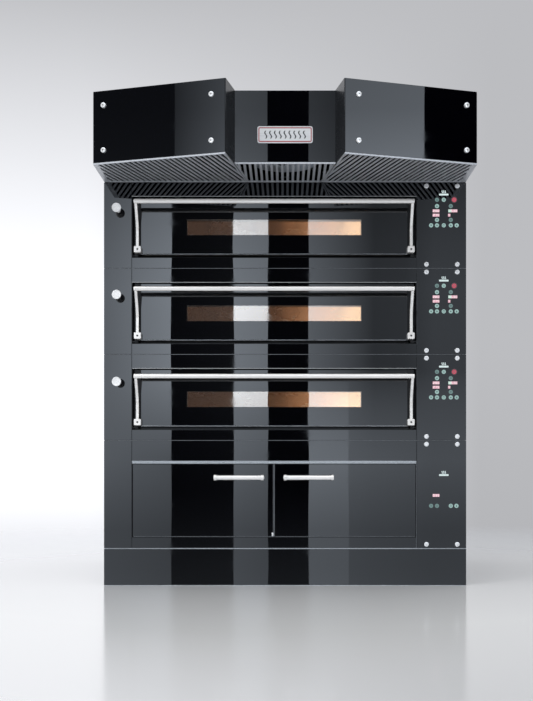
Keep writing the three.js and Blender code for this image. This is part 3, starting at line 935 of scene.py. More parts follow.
@dataclass
class Controls:
    """The lit marks, keys and displays on one control panel, as thin flush inlays."""

    module: "CasedModule"
    prefix: str
    keys: Sequence[Key]
    displays: Sequence[Display]
    mark: Point
    thick: float = 0.25

    SEGMENTS = {"0": "abcdef", "1": "bc", "2": "abged", "3": "abgcd", "4": "fgbc", "5": "afgcd",
                "6": "afgecd", "7": "abc", "8": "abcdefg", "9": "abcdfg"}

    def build(self) -> None:
        """Makes every inlay."""
        groups: dict[Finish, Shape] = {}
        glyphs = Shape()
        for key in self.keys:
            disc = groups.setdefault(key.finish, Shape())
            disc.extrude(circle((key.x, key.z), key.radius, 28), (-self.thick, 0.0), arris=0.1)
            self.draw_glyph(glyphs, key)
            if key.finish is KEY_RED:
                halo = groups.setdefault(KEY_HALO, Shape())
                halo.extrude(circle((key.x, key.z), 13.2, 28), (-self.thick, 0.0),
                             holes=[circle((key.x, key.z), 10.4, 28)], arris=0.1)
        for finish, shape in groups.items():
            self.module.place(shape, f"{self.prefix}_keys_{finish.name}", finish)
        self.module.place(glyphs, f"{self.prefix}_key_glyphs", GLYPH_DARK)
        self.build_displays()
        self.build_mark()

    def draw_glyph(self, shape: Shape, key: Key) -> None:
        """Adds a key's glyph, standing on its disc.

        Args:
            shape: The shape to add to.
            key: The key.
        """
        span = (-self.thick * 1.6, -self.thick)
        x, z = key.x, key.z
        if key.glyph in (Glyph.UP, Glyph.DOWN):
            way = 1 if key.glyph is Glyph.UP else -1
            corners = [(x - 4.5, z - 3 * way), (x + 4.5, z - 3 * way), (x, z + 4.5 * way)]
            shape.extrude(corners[::way], span, arris=0.02)
        elif key.glyph is Glyph.RING:
            shape.extrude(circle((x, z), 5, 24), span, holes=[circle((x, z), 3.6, 24)], arris=0.02)
            shape.extrude(rectangle((x - 0.7, x + 0.7), (z + 1, z + 6)), (span[0] * 1.2, span[0]), arris=0.02)
        elif key.glyph is Glyph.BARS:
            for rise in (-3.2, 0, 3.2):
                shape.extrude(rectangle((x - 4, x + 4), (z + rise - 0.7, z + rise + 0.7)), span, arris=0.02)
        else:
            drop = [(x + 3.4 * math.cos(a), z - 1.5 + 3.4 * math.sin(a)) for a in
                    [math.pi * (1 + i / 10) for i in range(11)]] + [(x, z + 5.5)]
            shape.extrude(drop, span, arris=0.02)

    def build_displays(self) -> None:
        """Makes the displays' lit fields and their digits."""
        fields = {PANEL_PINK: Shape(), PANEL_MINT: Shape()}
        digits = Shape()
        used: list[Lit] = []
        for display in self.displays:
            left, right = display.x - display.width / 2, display.x + display.width / 2
            z = (display.z - display.height / 2, display.z + display.height / 2)
            split = left + display.width * display.mint_share
            for finish, x in ((PANEL_MINT, (left, split)), (PANEL_PINK, (split, right))):
                if x[1] > x[0]:
                    fields[finish].extrude(rectangle(x, z), (-self.thick, 0.0), arris=0.05)
                    if finish not in used:
                        used.append(finish)
            step = display.width / len(display.digits)
            for i, digit in enumerate(display.digits):
                self.draw_digit(digits, digit, (left + step * (i + 0.5), display.z))
        for finish in used:
            self.module.place(fields[finish], f"{self.prefix}_{finish.name}", finish)
        self.module.place(digits, f"{self.prefix}_display_digits", DIGIT_LIGHT)

    def draw_digit(self, shape: Shape, digit: str, centre: Point) -> None:
        """Adds a seven-segment digit around a centre.

        Args:
            shape: The shape to add to.
            digit: The digit.
            centre: The middle of the digit.
        """
        x, z = centre
        w, h, t = 2.7, 4.3, 0.8
        bars = {
            "a": ((-w + t, w - t), (h - t, h + t)), "g": ((-w + t, w - t), (-t, t)),
            "d": ((-w + t, w - t), (-h - t, -h + t)), "b": ((w - t, w + t), (t, h)),
            "c": ((w - t, w + t), (-h, -t)), "f": ((-w - t, -w + t), (t, h)),
            "e": ((-w - t, -w + t), (-h, -t)),
        }
        for name in self.SEGMENTS[digit]:
            (u0, u1), (v0, v1) = bars[name]
            outline = rectangle((x + u0, x + u1), (z + v0, z + v1))
            shape.extrude(outline, (-self.thick * 1.6, -self.thick), arris=0.02)

    def build_mark(self) -> None:
        """Makes the panel's plain heat mark: a low bar with three waves rising from it."""
        x, z = self.mark
        mark = Shape()
        span = (-self.thick, 0.0)
        mark.extrude(rounded((x - 21, x + 21), (z - 10, z - 2), 2), span, arris=0.05)
        for shift in (-7, 0, 7):
            side = [(x + shift + 1.2 * math.sin(i / 8 * 2 * math.pi), z + i * 1.5) for i in range(9)]
            ribbon = [(u - 1.8, v) for u, v in side[::-1]] + [(u + 1.8, v) for u, v in side]
            mark.extrude(ribbon, span, arris=0.05)
        self.module.place(mark, f"{self.prefix}_heat_mark", MARK_LIGHT)


@dataclass
class CasedModule(Module):
    """A module with an insulated casing: a deck or the proofer."""

    prefix: str
    height: float
    cap_x: Span = (624.0, 760.0)
    cap_inset: float = 17.0
    cap_radius: float = 10.5
    cap_rise: float = 7.5
    skin: float = 1.3
    glass: float = 6.0
    louvre_length: float = 130.0

    def own(self, name: str) -> Extent:
        """Where one of this module's own design nodes lies."""
        return self.extent(self.node(name))

    def node(self, name: str) -> str:
        """The full name of one of this module's nodes or pieces."""
        return f"{self.prefix}_{name}"

    def build_casing(self, pocket: Extent | None = None) -> None:
        """Dresses the casing and gives it side sheets and a service cover with louvres.

        Args:
            pocket: A pocket in the back that the cover leaves open.
        """
        self.keep(self.node("casing"), BLACK_STEEL)
        casing = self.own("casing")
        for side, x in (("left", casing.x[0]), ("right", casing.x[1])):
            outward = -1 if side == "left" else 1
            plane = Plane(Vector((x, 0, 0)), BACK, UP, RIGHT * outward)
            y = (casing.y[0] + 1, casing.y[1] - 1)
            sheet = Shape()
            sheet.extrude(rectangle(y, (SEAM, self.height - SEAM)), (GAP, GAP + self.skin), plane, arris=0.4)
            for row in range(5):
                for middle in (y[1] - 330, y[1] - 170):
                    louvre(sheet, plane.__class__(plane.at(0, 0, GAP + self.skin - 0.1), BACK, UP, plane.w),
                           (middle, 60 + 22 * row), self.louvre_length, 1.25)
            for depth in (y[0] + 18, (y[0] + y[1]) / 2, y[1] - 18):
                for z in (18, self.height - 18):
                    screw_head(sheet, plane.at(depth, z, GAP + self.skin - 0.05), plane.w)
            self.place(sheet, self.node(f"{side}_side_sheet"), BLACK_STEEL)
        self.build_back_cover(casing, pocket)
        seam = Shape().slab((casing.x[0] - 1, casing.x[1] + 1), (0.6, 5.6), (-0.8, 0.8), 0.15)
        self.place(seam, self.node("seam_strip"), SEAM_STEEL)

    def build_back_cover(self, casing: Extent, pocket: Extent | None) -> None:
        """Makes the service cover on the casing's back.

        Args:
            casing: Where the casing lies.
            pocket: A pocket that the cover leaves open.
        """
        back = casing.y[1]
        outward = Plane(Vector((0, back, 0)), RIGHT, UP, BACK)
        margin = 26
        x = (casing.x[0] + margin, casing.x[1] - margin)
        z = (margin, self.height - margin)
        holes = [rounded(pocket.x, pocket.z, 8)] if pocket else []
        cover = Shape()
        cover.extrude(rounded(x, z, 10), (GAP, 2.2), outward, holes=holes, arris=0.5)
        raised = Plane(outward.at(0, 0, 2.1), RIGHT, UP, BACK)
        rows = int((z[1] - z[0] - 150) // 24)
        for column in (-520, -320, -120, 120, 320):
            for row in range(rows):
                louvre(cover, raised, (column, z[1] - 70 - 24 * row), 150, 4.6)
        for i in range(6):
            for height in (z[0] + 12, z[1] - 12):
                place = raised.at(x[0] + 12 + (x[1] - x[0] - 24) * i / 5, height, -0.05)
                screw_head(cover, place, BACK, 5.0, 2.4)
        self.place(cover, self.node("back_cover"), BLACK_STEEL)

    def build_surround(self, liner_name: str = "door_bay_liner") -> None:
        """Makes the glass header and sill, and the steel liners and pins of the door bay.

        Args:
            liner_name: The name of the liners' piece.
        """
        surround = self.own("door_surround")
        sill_top, header_bottom = self.bay_heights()
        left, right = surround.x
        header = Shape().slab((left, right), (0, self.glass), (header_bottom, self.height - SEAM), 0.7)
        self.place(header, self.node("header_glass"), BLACK_GLASS, replaces=[self.node("door_surround")])
        sill = Shape().slab((left, right), (0, self.glass), (SEAM, sill_top), 0.7)
        self.place(sill, self.node("sill_glass"), BLACK_GLASS)
        liner = Shape()
        for x in ((left, left + 2), (right - 2, right)):
            liner.slab(x, (1.5, surround.y[1]), (sill_top + GAP, header_bottom - GAP), 0.4)
        self.add_pins(liner, surround)
        self.place(liner, self.node(liner_name), BLACK_ENAMEL)

    def bay_heights(self) -> Span:
        """The sill's top and the header's underside."""
        raise NotImplementedError

    def add_pins(self, liner: Shape, surround: Extent) -> None:
        """Adds what the liners carry. Plain liners carry nothing."""

    def build_control_panel(self) -> None:
        """Makes the control column's glass and the capped studs that hold it."""
        panel = self.own("control_panel")
        places = [(x, z) for x in self.cap_x for z in (self.cap_inset, self.height - self.cap_inset)]
        glass = Shape().extrude(rectangle(panel.x, panel.z), panel.y, arris=0.7,
                                holes=[circle(place, 5.5, 24) for place in places])
        self.place(glass, self.node("control_glass"), BLACK_GLASS, replaces=[self.node("control_panel")])
        self.place(self.caps(places), self.node("panel_caps"), CHROME)
        bracket = self.own("panel_bracket")
        rails = Shape()
        post = self.glass + 1.5 + 2
        for x in self.cap_x:
            rails.slab((x - 8, x + 8), (self.glass + 1.3, self.glass + 4.3), bracket.z, 0.4)
            for z in (self.cap_inset, self.height - self.cap_inset):
                rails.turn([(0, 0), (4, 0), (4, post), (0, post)], (x, 0.5, z), BACK, 20)
        middle = self.height / 2
        rails.slab((self.cap_x[0] + 8, self.cap_x[1] - 8), (self.glass + 1.3, self.glass + 4.3),
                   (middle - 8, middle + 8), 0.4)
        self.place(rails, self.node("panel_rails"), CHROME, replaces=[self.node("panel_bracket")])

    def caps(self, places: Sequence[Point]) -> Shape:
        """The round caps in front of the glass, each with a small key recess.

        Args:
            places: Each cap's x and z.

        Returns:
            The caps.
        """
        shape = Shape()
        for x, z in places:
            shape.turn(cap_profile(self.cap_radius, self.cap_rise), (x, 0, z), -BACK, 40)
        return shape


def cap_profile(radius: float, rise: float) -> list[Point]:
    """The turned outline of a glass cap: a short drum with a wide rounded chamfer and a key recess.

    Args:
        radius: The cap's radius.
        rise: Its height.

    Returns:
        Points of radius and height.
    """
    curve = [(radius - 3.2 + 3.2 * math.cos(a), rise - 3.2 + 3.2 * math.sin(a))
             for a in [math.pi / 2 * i / 5 for i in range(6)]]
    return [(0, GAP), (radius, GAP), *curve, (2.6, rise), (2.2, rise - 1.6), (0, rise - 1.6)]


@dataclass
class Deck(CasedModule):
    """One baking deck, with its chamber, drop-down door, controls and damper pull."""

    number: int = 1
    knob_radius: float = 20.0
    window: Extent = Extent((-433.0, 337.0), (10.0, 50.0), (148.0, 216.0))
    sill_top: float = 47.0
    header_bottom: float = 317.5
    arm_thick: float = 11.0
    arm_width: float = 11.5
    pin_radius: float = 3.0
    rope: float = 4.0
    boss_half: float = 15.0

    def __post_init__(self) -> None:
        """Names the body that the door moves with."""
        self.door = f"deck_{self.number}_door"

    def bay_heights(self) -> Span:
        """The sill's top and the header's underside."""
        return self.sill_top, self.header_bottom

    def build(self) -> None:
        """Makes the whole deck."""
        self.build_casing()
        self.build_surround()
        self.build_edges()
        self.build_left_column()
        self.build_control_panel()
        self.build_controls()
        self.build_chamber()
        self.build_door()
        self.build_handle()

    def add_pins(self, liner: Shape, surround: Extent) -> None:
        """Adds the two pins that the door turns on.

        Args:
            liner: The liners.
            surround: The door surround's box.
        """
        frame_box = self.own("door_frame")
        for x in ((surround.x[0] + 1, frame_box.x[0] + 12), (frame_box.x[1] - 12, surround.x[1] - 1)):
            liner.rod([(x[0], 7, 56), (x[1], 7, 56)], self.pin_radius, 20)

    def build_edges(self) -> None:
        """Makes the thin steel lip under the header."""
        surround = self.own("door_surround")
        lip = Shape().slab(surround.x, (-0.9, 0.0), (self.header_bottom, self.header_bottom + 1.6), 0.3)
        self.place(lip, self.node("header_lip"), PLATE_STEEL)

    def build_left_column(self) -> None:
        """Makes the left column's glass, the knob's bush and the damper pull."""
        panel = self.own("left_panel")
        pull = self.own("damper_pull")
        x = (pull.x[0] + pull.x[1]) / 2
        z = (pull.z[0] + pull.z[1]) / 2
        glass = Shape().extrude(rectangle(panel.x, panel.z), panel.y, arris=0.7,
                                holes=[circle((x, z), 7, 28)])
        self.place(glass, self.node("left_glass"), BLACK_GLASS, replaces=[self.node("left_panel")])
        sleeve = [(5.6, -2), (9.5, -2), (9.5, -0.6), (8.4, 0), (6.8, 0), (6.8, 9), (5.6, 9), (5.6, -2)]
        bush = Shape().turn(sleeve, (x, 0, z), BACK, 36)
        self.place(bush, self.node("pull_bush"), ALUMINIUM)
        face = pull.y[0]
        radius = self.knob_radius
        head = [(0, 0.9), (radius - 4.4, 0.9), (radius - 3.6, 0), (radius - 1.4, 0), (radius, 1.4),
                (radius, 9.4), (radius - 1.2, 10.6), (radius - 7, 13), (6.5, 14.5), (0, 14.5)]
        knob = Shape().turn(head, (x, face, z), BACK, 48)
        self.place(knob, self.node("damper_knob"), ALUMINIUM, self.damper, [self.node("damper_pull")])
        rod = Shape().turn([(0, 0), (5, 0), (5, pull.y[1] - face - 16), (0, pull.y[1] - face - 16)],
                           (x, face + 13, z), BACK, 28)
        rod.slab((x - 20, x + 20), (pull.y[1] - 3, pull.y[1]), (z - 20, z + 20), 0.5)
        self.place(rod, self.node("damper_rod"), SHELF_STEEL, self.damper)

    @property
    def damper(self) -> str:
        """The body that the damper pull moves with."""
        return f"deck_{self.number}_damper"

    def build_controls(self) -> None:
        """Makes the lit controls."""
        columns = (645.0, 671.0, 701.0, 732.0, 758.0)
        row = (Glyph.DOWN, Glyph.UP, Glyph.RING, Glyph.UP, Glyph.DROP)
        keys = [Key(x, 190, glyph) for x, glyph in zip(columns, row)]
        keys += [Key(671, 303, Glyph.DROP, KEY_DIM), Key(701, 303, Glyph.BARS),
                 Key(747, 303, Glyph.RING, KEY_RED, 9.6)]
        keys += [Key(671, 275, Glyph.UP), Key(732, 275, Glyph.UP, KEY_DIM)]
        keys += [Key(671, 214, Glyph.DOWN), Key(732, 214, Glyph.DOWN, KEY_DIM)]
        displays = [
            Display(667, 254, 30, "280"), Display(741, 254, 40, "1530", mint_share=0.33),
            Display(667, 235, 30, "275"), Display(725, 235, 10, "4"),
        ]
        Controls(self, self.node("panel"), keys, displays, (701.0, 332.0)).build()

    def build_chamber(self) -> None:
        """Dresses the chamber and makes its stones, heating elements and lamp."""
        # The chamber's finish carries a painted glow for the lamp's light.
        self.keep(self.node("baking_chamber"), CHAMBER_STEEL_PAINTED_GLOW)
        chamber = self.own("baking_chamber")
        mouth = rectangle((chamber.x[0] - 1, chamber.x[1] + 1), (chamber.z[0] - 1, chamber.z[1] + 1))
        rim = Shape().extrude(mouth, (chamber.y[0] - 1.9, chamber.y[0] - 0.2), holes=[moved_in(mouth, 9.2)],
                              arris=0.4)
        self.place(rim, self.node("mouth_rim"), BLACK_ENAMEL)
        stone = self.own("baking_stone")
        tiles = Shape()
        step = (stone.x[1] - stone.x[0] + 2) / 3
        for i in range(3):
            x0 = stone.x[0] + step * i
            tiles.extrude(rectangle((x0, x0 + step - 2), stone.y), stone.z, PLAN, arris=1.6)
        self.place(tiles, self.node("stone_tiles"), STONE, replaces=[self.node("baking_stone")])
        self.build_elements()
        lamp = self.own("chamber_lamp")
        centre = (lamp.x[0], (lamp.y[0] + lamp.y[1]) / 2, (lamp.z[0] + lamp.z[1]) / 2)
        lens = [(17 * math.sin(a), 4 - 4 * math.cos(a)) for a in [math.pi / 2 * i / 6 for i in range(7)]]
        glass = Shape().turn([*lens, (17, 9), (0, 9)], centre, RIGHT, 40)
        self.place(glass, self.node("lamp_lens"), LAMP_LENS)
        can = [(17.4, 6), (22, 8), (22, 50), (12, 52), (12, 60), (0, 60), (0, 10), (17.4, 10), (17.4, 6)]
        housing = Shape().turn(can, centre, RIGHT, 40)
        self.place(housing, self.node("lamp_housing"), ELEMENT, replaces=[self.node("chamber_lamp")])

    def build_elements(self) -> None:
        """Makes the hairpin heating elements under the chamber's ceiling, with their hangers."""
        box = self.own("heating_element")
        z = box.z[0] + 6
        shape = Shape()
        pitch = (box.x[1] - box.x[0] - 12) / 5
        bend = pitch * 0.28
        for i in range(3):
            x = box.x[0] + 6 + pitch * 2 * i
            right = x + pitch
            path = [(x, box.y[0] + 8, z), (x, box.y[1] - 8 - bend, z)]
            corner = [math.pi * (1 - j / 12) for j in range(13)]
            middle, reach = (x + right) / 2, pitch / 2
            path += [(middle + reach * math.cos(a), box.y[1] - 8 - bend + bend * math.sin(a), z)
                     for a in corner]
            path += [(right, box.y[0] + 8, z)]
            shape.rod(path, 5, 10)
        for y in (box.y[0] + 12, (box.y[0] + box.y[1]) / 2, box.y[1] - 70):
            shape.slab((box.x[0] + 2, box.x[1] - 2), (y - 1.2, y + 1.2), (z + 5, z + 8), 0.4)
            for x in (box.x[0] + 8, box.x[1] - 8):
                shape.rod([(x, y, z + 7), (x, y, box.z[1])], 3, 8)
        self.place(shape, self.node("element_tubes"), ELEMENT, replaces=[self.node("heating_element")])

    def build_door(self) -> None:
        """Makes the door's glass, window, edge strip and gasket, and dresses its frame."""
        self.keep(self.node("door_frame"), BLACK_ENAMEL)
        glass = self.own("door_glass")
        opening = rectangle(self.window.x, self.window.z)
        painted = Shape().extrude(rectangle(glass.x, glass.z), glass.y, arris=0.7, holes=[opening])
        self.place(painted, self.node("door_painted_glass"), BLACK_GLASS, self.door,
                   [self.node("door_glass")])
        clear = Shape().extrude(moved_in(opening, 0.05), glass.y, arris=0.05)
        self.place(clear, self.node("door_window"), WINDOW_GLASS, self.door)
        back = self.window.y[1]
        inner = Shape().extrude(moved_in(opening, GAP), (back - 8, back - 4), arris=0.4)
        self.place(inner, self.node("door_inner_pane"), FROSTED_GLASS, self.door)
        face = glass.y[0]
        section = [(face - 2.6, glass.z[0] - 2.4), (face - 0.2, glass.z[0] - 2.4),
                   (face - 0.2, glass.z[0] + 1.2), (face - 2.6, glass.z[0] - 1.2)]
        strip = Shape().extrude(section, glass.x, SIDE, arris=0.2)
        self.place(strip, self.node("door_edge_strip"), LIP_STEEL, self.door)
        frame_x = self.own("door_frame").x
        plug = (frame_x[0] + 32, frame_x[1] - 32)
        around = rounded((plug[0] - self.rope, plug[1] + self.rope), (64, 291.5), 14, 6)
        gasket = Shape().rod([(u, 28, v) for u, v in around], self.rope, 10, closed=True)
        self.place(gasket, self.node("door_gasket"), ROPE, self.door)

    def build_handle(self) -> None:
        """Makes the full-width bar with its bent arms and bosses."""
        box = self.own("door_handle")
        y, z = box.y[0] + 10, box.z[1] - 10
        arms = (box.x[0] + self.boss_half, box.x[1] - self.boss_half)
        length = arms[1] - arms[0] + 16
        bar = [(0, 0), (8.4, 0), (10, 1.6), (10, length - 1.6), (8.4, length), (0, length)]
        shape = Shape().turn(bar, (arms[0] - 8, y, z), RIGHT, 48)
        low, knee, stand = 80.0, 180.0, box.y[1] - 4 - 22.5
        for x in arms:
            path = self.arm_path((stand, low), (stand, knee), (y, z))
            half = self.arm_thick / 2
            outline = side_of(path, -half) + side_of(path, half)[::-1]
            shape.extrude(outline, (x - self.arm_width / 2, x + self.arm_width / 2), SIDE, arris=1.6)
            shape.extrude(rounded((x - 15, x + 15), (low - 14, low + 14), 4), (box.y[1] - 33, box.y[1]),
                          arris=1.4)
        self.place(shape, self.node("bar_handle"), BAR_STEEL, self.door, [self.node("door_handle")])
        sockets = Shape()
        for x in arms:
            sockets.turn([(0, -0.2), (4.6, -0.2), (4.6, 1), (0, 1)], (x, box.y[1] - 33, low), BACK, 6)
        self.place(sockets, self.node("handle_sockets"), BLACK_ENAMEL, self.door)

    @staticmethod
    def arm_path(foot: Point, knee: Point, top: Point) -> Outline:
        """An arm's centre line: straight up from its foot, round the knee and on to the bar.

        Args:
            foot: The boss's place.
            knee: The bend's place.
            top: The bar's place.

        Returns:
            The centre line.
        """
        way = (Vector(top) - Vector(knee)).normalized()
        start = Vector(knee) - Vector((0, 26))
        end = Vector(knee) + way * 26
        bend = []
        for i in range(9):
            t = i / 8
            point = start * (1 - t) ** 2 + Vector(knee) * (2 * t * (1 - t)) + end * t ** 2
            bend.append((point.x, point.y))
        return [foot, *bend, top]


def side_of(path: Outline, distance: float) -> Outline:
    """A line beside an open path, at a distance to its right.

    Args:
        path: The open path.
        distance: How far to the right.

    Returns:
        The line beside it.
    """
    result: Outline = []
    for i, point in enumerate(path):
        before = Vector(path[max(i - 1, 0)])
        after = Vector(path[min(i + 1, len(path) - 1)])
        along = (after - before).normalized()
        result.append((point[0] + along.y * distance, point[1] - along.x * distance))
    return result


@dataclass
class Proofer(CasedModule):
    """The proofing cabinet under the decks, with two glass-faced doors."""

    sill_top: float = 48.0
    header_bottom: float = 373.5
    strip_height: float = 12.0
    ferrule: float = 12.75
    handle_radius: float = 10.0
    ferrule_length: float = 13.0
    rack_side: float = 12.0
    rack_head: float = 20.0
    rack_back: float = 30.0

    def bay_heights(self) -> Span:
        """The sill's top and the header's underside."""
        return self.sill_top, self.header_bottom

    def build(self) -> None:
        """Makes the whole proofer."""
        gland = self.extent("cable_gland")
        pocket = Extent((gland.x[0] - 14, gland.x[1] + 14), gland.y, (gland.z[0] - 14, gland.z[1] + 14))
        self.build_casing(pocket)
        self.build_surround()
        panel = self.own("left_panel")
        glass = Shape().slab(panel.x, panel.y, panel.z, 0.7)
        self.place(glass, self.node("left_glass"), BLACK_GLASS, replaces=[self.node("left_panel")])
        self.build_control_panel()
        keys = [Key(645, 187, Glyph.DOWN, KEY_DIM), Key(671, 187, Glyph.UP, KEY_DIM),
                Key(732, 187, Glyph.RING), Key(757, 187, Glyph.DROP)]
        Controls(self, self.node("panel"), keys, [Display(667, 233, 30, "035")], (701.0, 329.0)).build()
        self.build_strip()
        for side in ("left", "right"):
            self.build_door(side)
            self.build_handle(side)
        self.build_rack()
        self.build_lining()
        self.build_gland(gland)

    def build_strip(self) -> None:
        """Makes the bright trim strip above the doors and the thin upright strip at the bay's right edge."""
        surround = self.own("door_surround")
        strip = Shape().slab((surround.x[0] + 1, surround.x[1] - 1), (-1.8, 0.0),
                             (self.header_bottom, self.header_bottom + self.strip_height), 0.5)
        self.place(strip, self.node("header_strip"), LIP_STEEL)
        edge = (surround.x[1] - 1.6, surround.x[1])
        post = Shape().slab(edge, (-0.8, 0.0), (SEAM, self.header_bottom), 0.2)
        self.place(post, self.node("column_strip"), SEAM_STEEL)

    def build_door(self, side: str) -> None:
        """Makes one door: a folded steel tray with a glass face and a bright strip on its closing edge.

        Args:
            side: "left" or "right".
        """
        body = f"{side}_proofer_door"
        door = self.own(f"{side}_door")
        face = Shape().slab(door.x, (0, self.glass), door.z, 0.7)
        self.place(face, self.node(f"{side}_door_glass"), BLACK_GLASS, body, [self.node(f"{side}_door")])
        tray = Shape().extrude(rounded((door.x[0] + 1, door.x[1] - 1), (door.z[0] + 1, door.z[1] - 1), 3),
                               (self.glass + 0.05, door.y[1]), arris=1.2)
        self.place(tray, self.node(f"{side}_door_tray"), BLACK_STEEL, body)
        edge = (door.x[1] - 2.2, door.x[1]) if side == "left" else (door.x[0], door.x[0] + 2.2)
        strip = Shape().slab(edge, (-0.8, 0.0), door.z, 0.2)
        strip.slab((door.x[0] + 4, door.x[1] - 4), (-0.5, 0.0), (door.z[0], door.z[0] + 1.4), 0.15)
        self.place(strip, self.node(f"{side}_door_edge"), SEAM_STEEL, body)
        if side == "left":
            catch = Shape().extrude(rounded((door.x[1] - 8, door.x[1]), (door.z[0] + 2, door.z[0] + 18), 1.5),
                                    (-4.0, -0.9), arris=0.8)
            self.place(catch, self.node("door_catch"), CHROME, body)
        seal = rounded((door.x[0] + 26, door.x[1] - 26), (door.z[0] + 16, door.z[1] - 16), 12, 5)
        rope = Shape().rod([(u, door.y[1] + 0.4, v) for u, v in seal], 2.2, 8, closed=True)
        self.place(rope, self.node(f"{side}_door_seal"), ROPE, body)

    def build_handle(self, side: str) -> None:
        """Makes one short bar handle with its ferrules and posts.

        Args:
            side: "left" or "right".
        """
        body = f"{side}_proofer_door"
        box = self.own(f"{side}_handle")
        y, z = box.y[0] + self.ferrule, (box.z[0] + box.z[1]) / 2
        length = box.x[1] - box.x[0]
        cap, radius, thin = self.ferrule_length, self.ferrule, self.handle_radius
        ends = [(0, 0), (radius - 2, 0), (radius, 2), (radius, cap - 1.2), (radius - 1.2, cap), (thin, cap)]
        profile = ends + [(r, length - h) for r, h in reversed(ends)]
        self.place(Shape().turn(profile, (box.x[0], y, z), RIGHT, 48), self.node(f"{side}_handle_bar"),
                   BAR_STEEL, body, [self.node(f"{side}_handle")])
        posts = Shape()
        for x in (box.x[0] + cap / 2, box.x[1] - cap / 2):
            foot = [(0, 0), (9, 0), (9, 2), (6, 3.4), (5.6, -y - 4), (0, -y - 4)]
            posts.turn(foot, (x, -GAP, z), -BACK, 28)
        self.place(posts, self.node(f"{side}_handle_posts"), CHROME, body)

    def build_rack(self) -> None:
        """Makes the shelf rack: four posts and two wire shelves."""
        box = self.own("shelf_rack")
        rack = Shape()
        for x in (box.x[0], box.x[1] - 14):
            for y in (box.y[0], box.y[1] - 14):
                rack.extrude(rounded((x, x + 14), (y, y + 14), 2), box.z, PLAN, arris=0.6)
        for level in (box.z[0] + 61.7, (54 + 368) / 2 + 52):
            rim = rounded((box.x[0] + 18, box.x[1] - 18), (box.y[0] + 4, box.y[1] - 4), 20, 5)
            rack.rod([(u, v, level) for u, v in rim], 3.4, 8, closed=True)
            for y in (box.y[0] + 300, box.y[0] + 600, box.y[0] + 900):
                rack.rod([(box.x[0] + 2, y, level - 1), (box.x[1] - 2, y, level - 1)], 3, 8)
            for i in range(30):
                x = box.x[0] + 40 + (box.x[1] - box.x[0] - 80) * i / 29
                rack.rod([(x, box.y[0] + 5, level + 3), (x, box.y[1] - 5, level + 3)], 1.8, 6)
        self.place(rack, self.node("wire_rack"), SHELF_STEEL, replaces=[self.node("shelf_rack")])

    def build_lining(self) -> None:
        """Makes the thin stainless sheets that line the cabinet."""
        rack = self.own("shelf_rack")
        x = (rack.x[0] - self.rack_side + 0.1, rack.x[1] + self.rack_side - 0.1)
        y = (27.0, rack.y[1] + self.rack_back - 0.1)
        z = (rack.z[0] - GAP, rack.z[1] + self.rack_head - 0.1)
        lining = Shape()
        lining.slab(x, y, (z[0] + 0.02, z[0] + 0.24), 0.02)
        lining.slab(x, y, (z[1] - 1, z[1]), 0.2)
        for side in ((x[0], x[0] + 1), (x[1] - 1, x[1])):
            lining.slab(side, y, (z[0] + 0.4, z[1] - 1.1), 0.2)
        lining.slab((x[0] + 1.1, x[1] - 1.1), (y[1] - 1, y[1]), (z[0] + 0.4, z[1] - 1.1), 0.2)
        self.place(lining, self.node("lining"), SHELF_STEEL)

    def build_gland(self, box: Extent) -> None:
        """Makes the mains cable's gland: a nut, a ribbed dome and the bore.

        Args:
            box: The gland's box.
        """
        centre = ((box.x[0] + box.x[1]) / 2, box.y[0], (box.z[0] + box.z[1]) / 2)
        nut = Shape().turn([(9.5, 0), (20, 0), (20, 7.4), (19, 8), (9.5, 8), (9.5, 0)], centre, BACK, 6)
        ribs = [(16, 8.2), (16.4, 10), (15.8, 11.4), (16.2, 13), (15.4, 14.4), (15.8, 16), (14.6, 18),
                (12.8, 22), (11, 24), (9.4, 24), (9.4, 8.2), (16, 8.2)]
        nut.turn(ribs, centre, BACK, 36)
        self.place(nut, "cable_gland_nut", PLASTIC, replaces=["cable_gland"])


@dataclass
class Plinth(Module):
    """The plinth that the oven stands on."""

    wall: float = 14.0

    def build(self) -> None:
        """Makes the glass-faced front, the other three walls, the top plate and the two bright lines."""
        box = self.extent("plinth")
        top = box.z[1]
        walls = Shape()
        inner = rectangle((box.x[0] + self.wall, box.x[1] - self.wall), (self.wall, box.y[1] - self.wall))
        walls.extrude(rectangle(box.x, (6.1, box.y[1])), (0, top - 4), PLAN, holes=[inner], arris=0.6)
        walls.extrude(rectangle(box.x, (6.1, box.y[1])), (top - 3.9, top), PLAN, arris=0.5)
        self.place(walls, "plinth_frame", BLACK_STEEL, replaces=["plinth"])
        front = Shape().slab(box.x, (0, 6), (1.7, top - 3.4), 0.6)
        self.place(front, "plinth_front_glass", BLACK_GLASS)
        lines = Shape().slab(box.x, (0, 6), (top - 3.3, top - 0.4), 0.5)
        lines.slab(box.x, (0, 6), (0, 1.6), 0.3)
        self.place(lines, "plinth_edge_strips", LIP_STEEL)


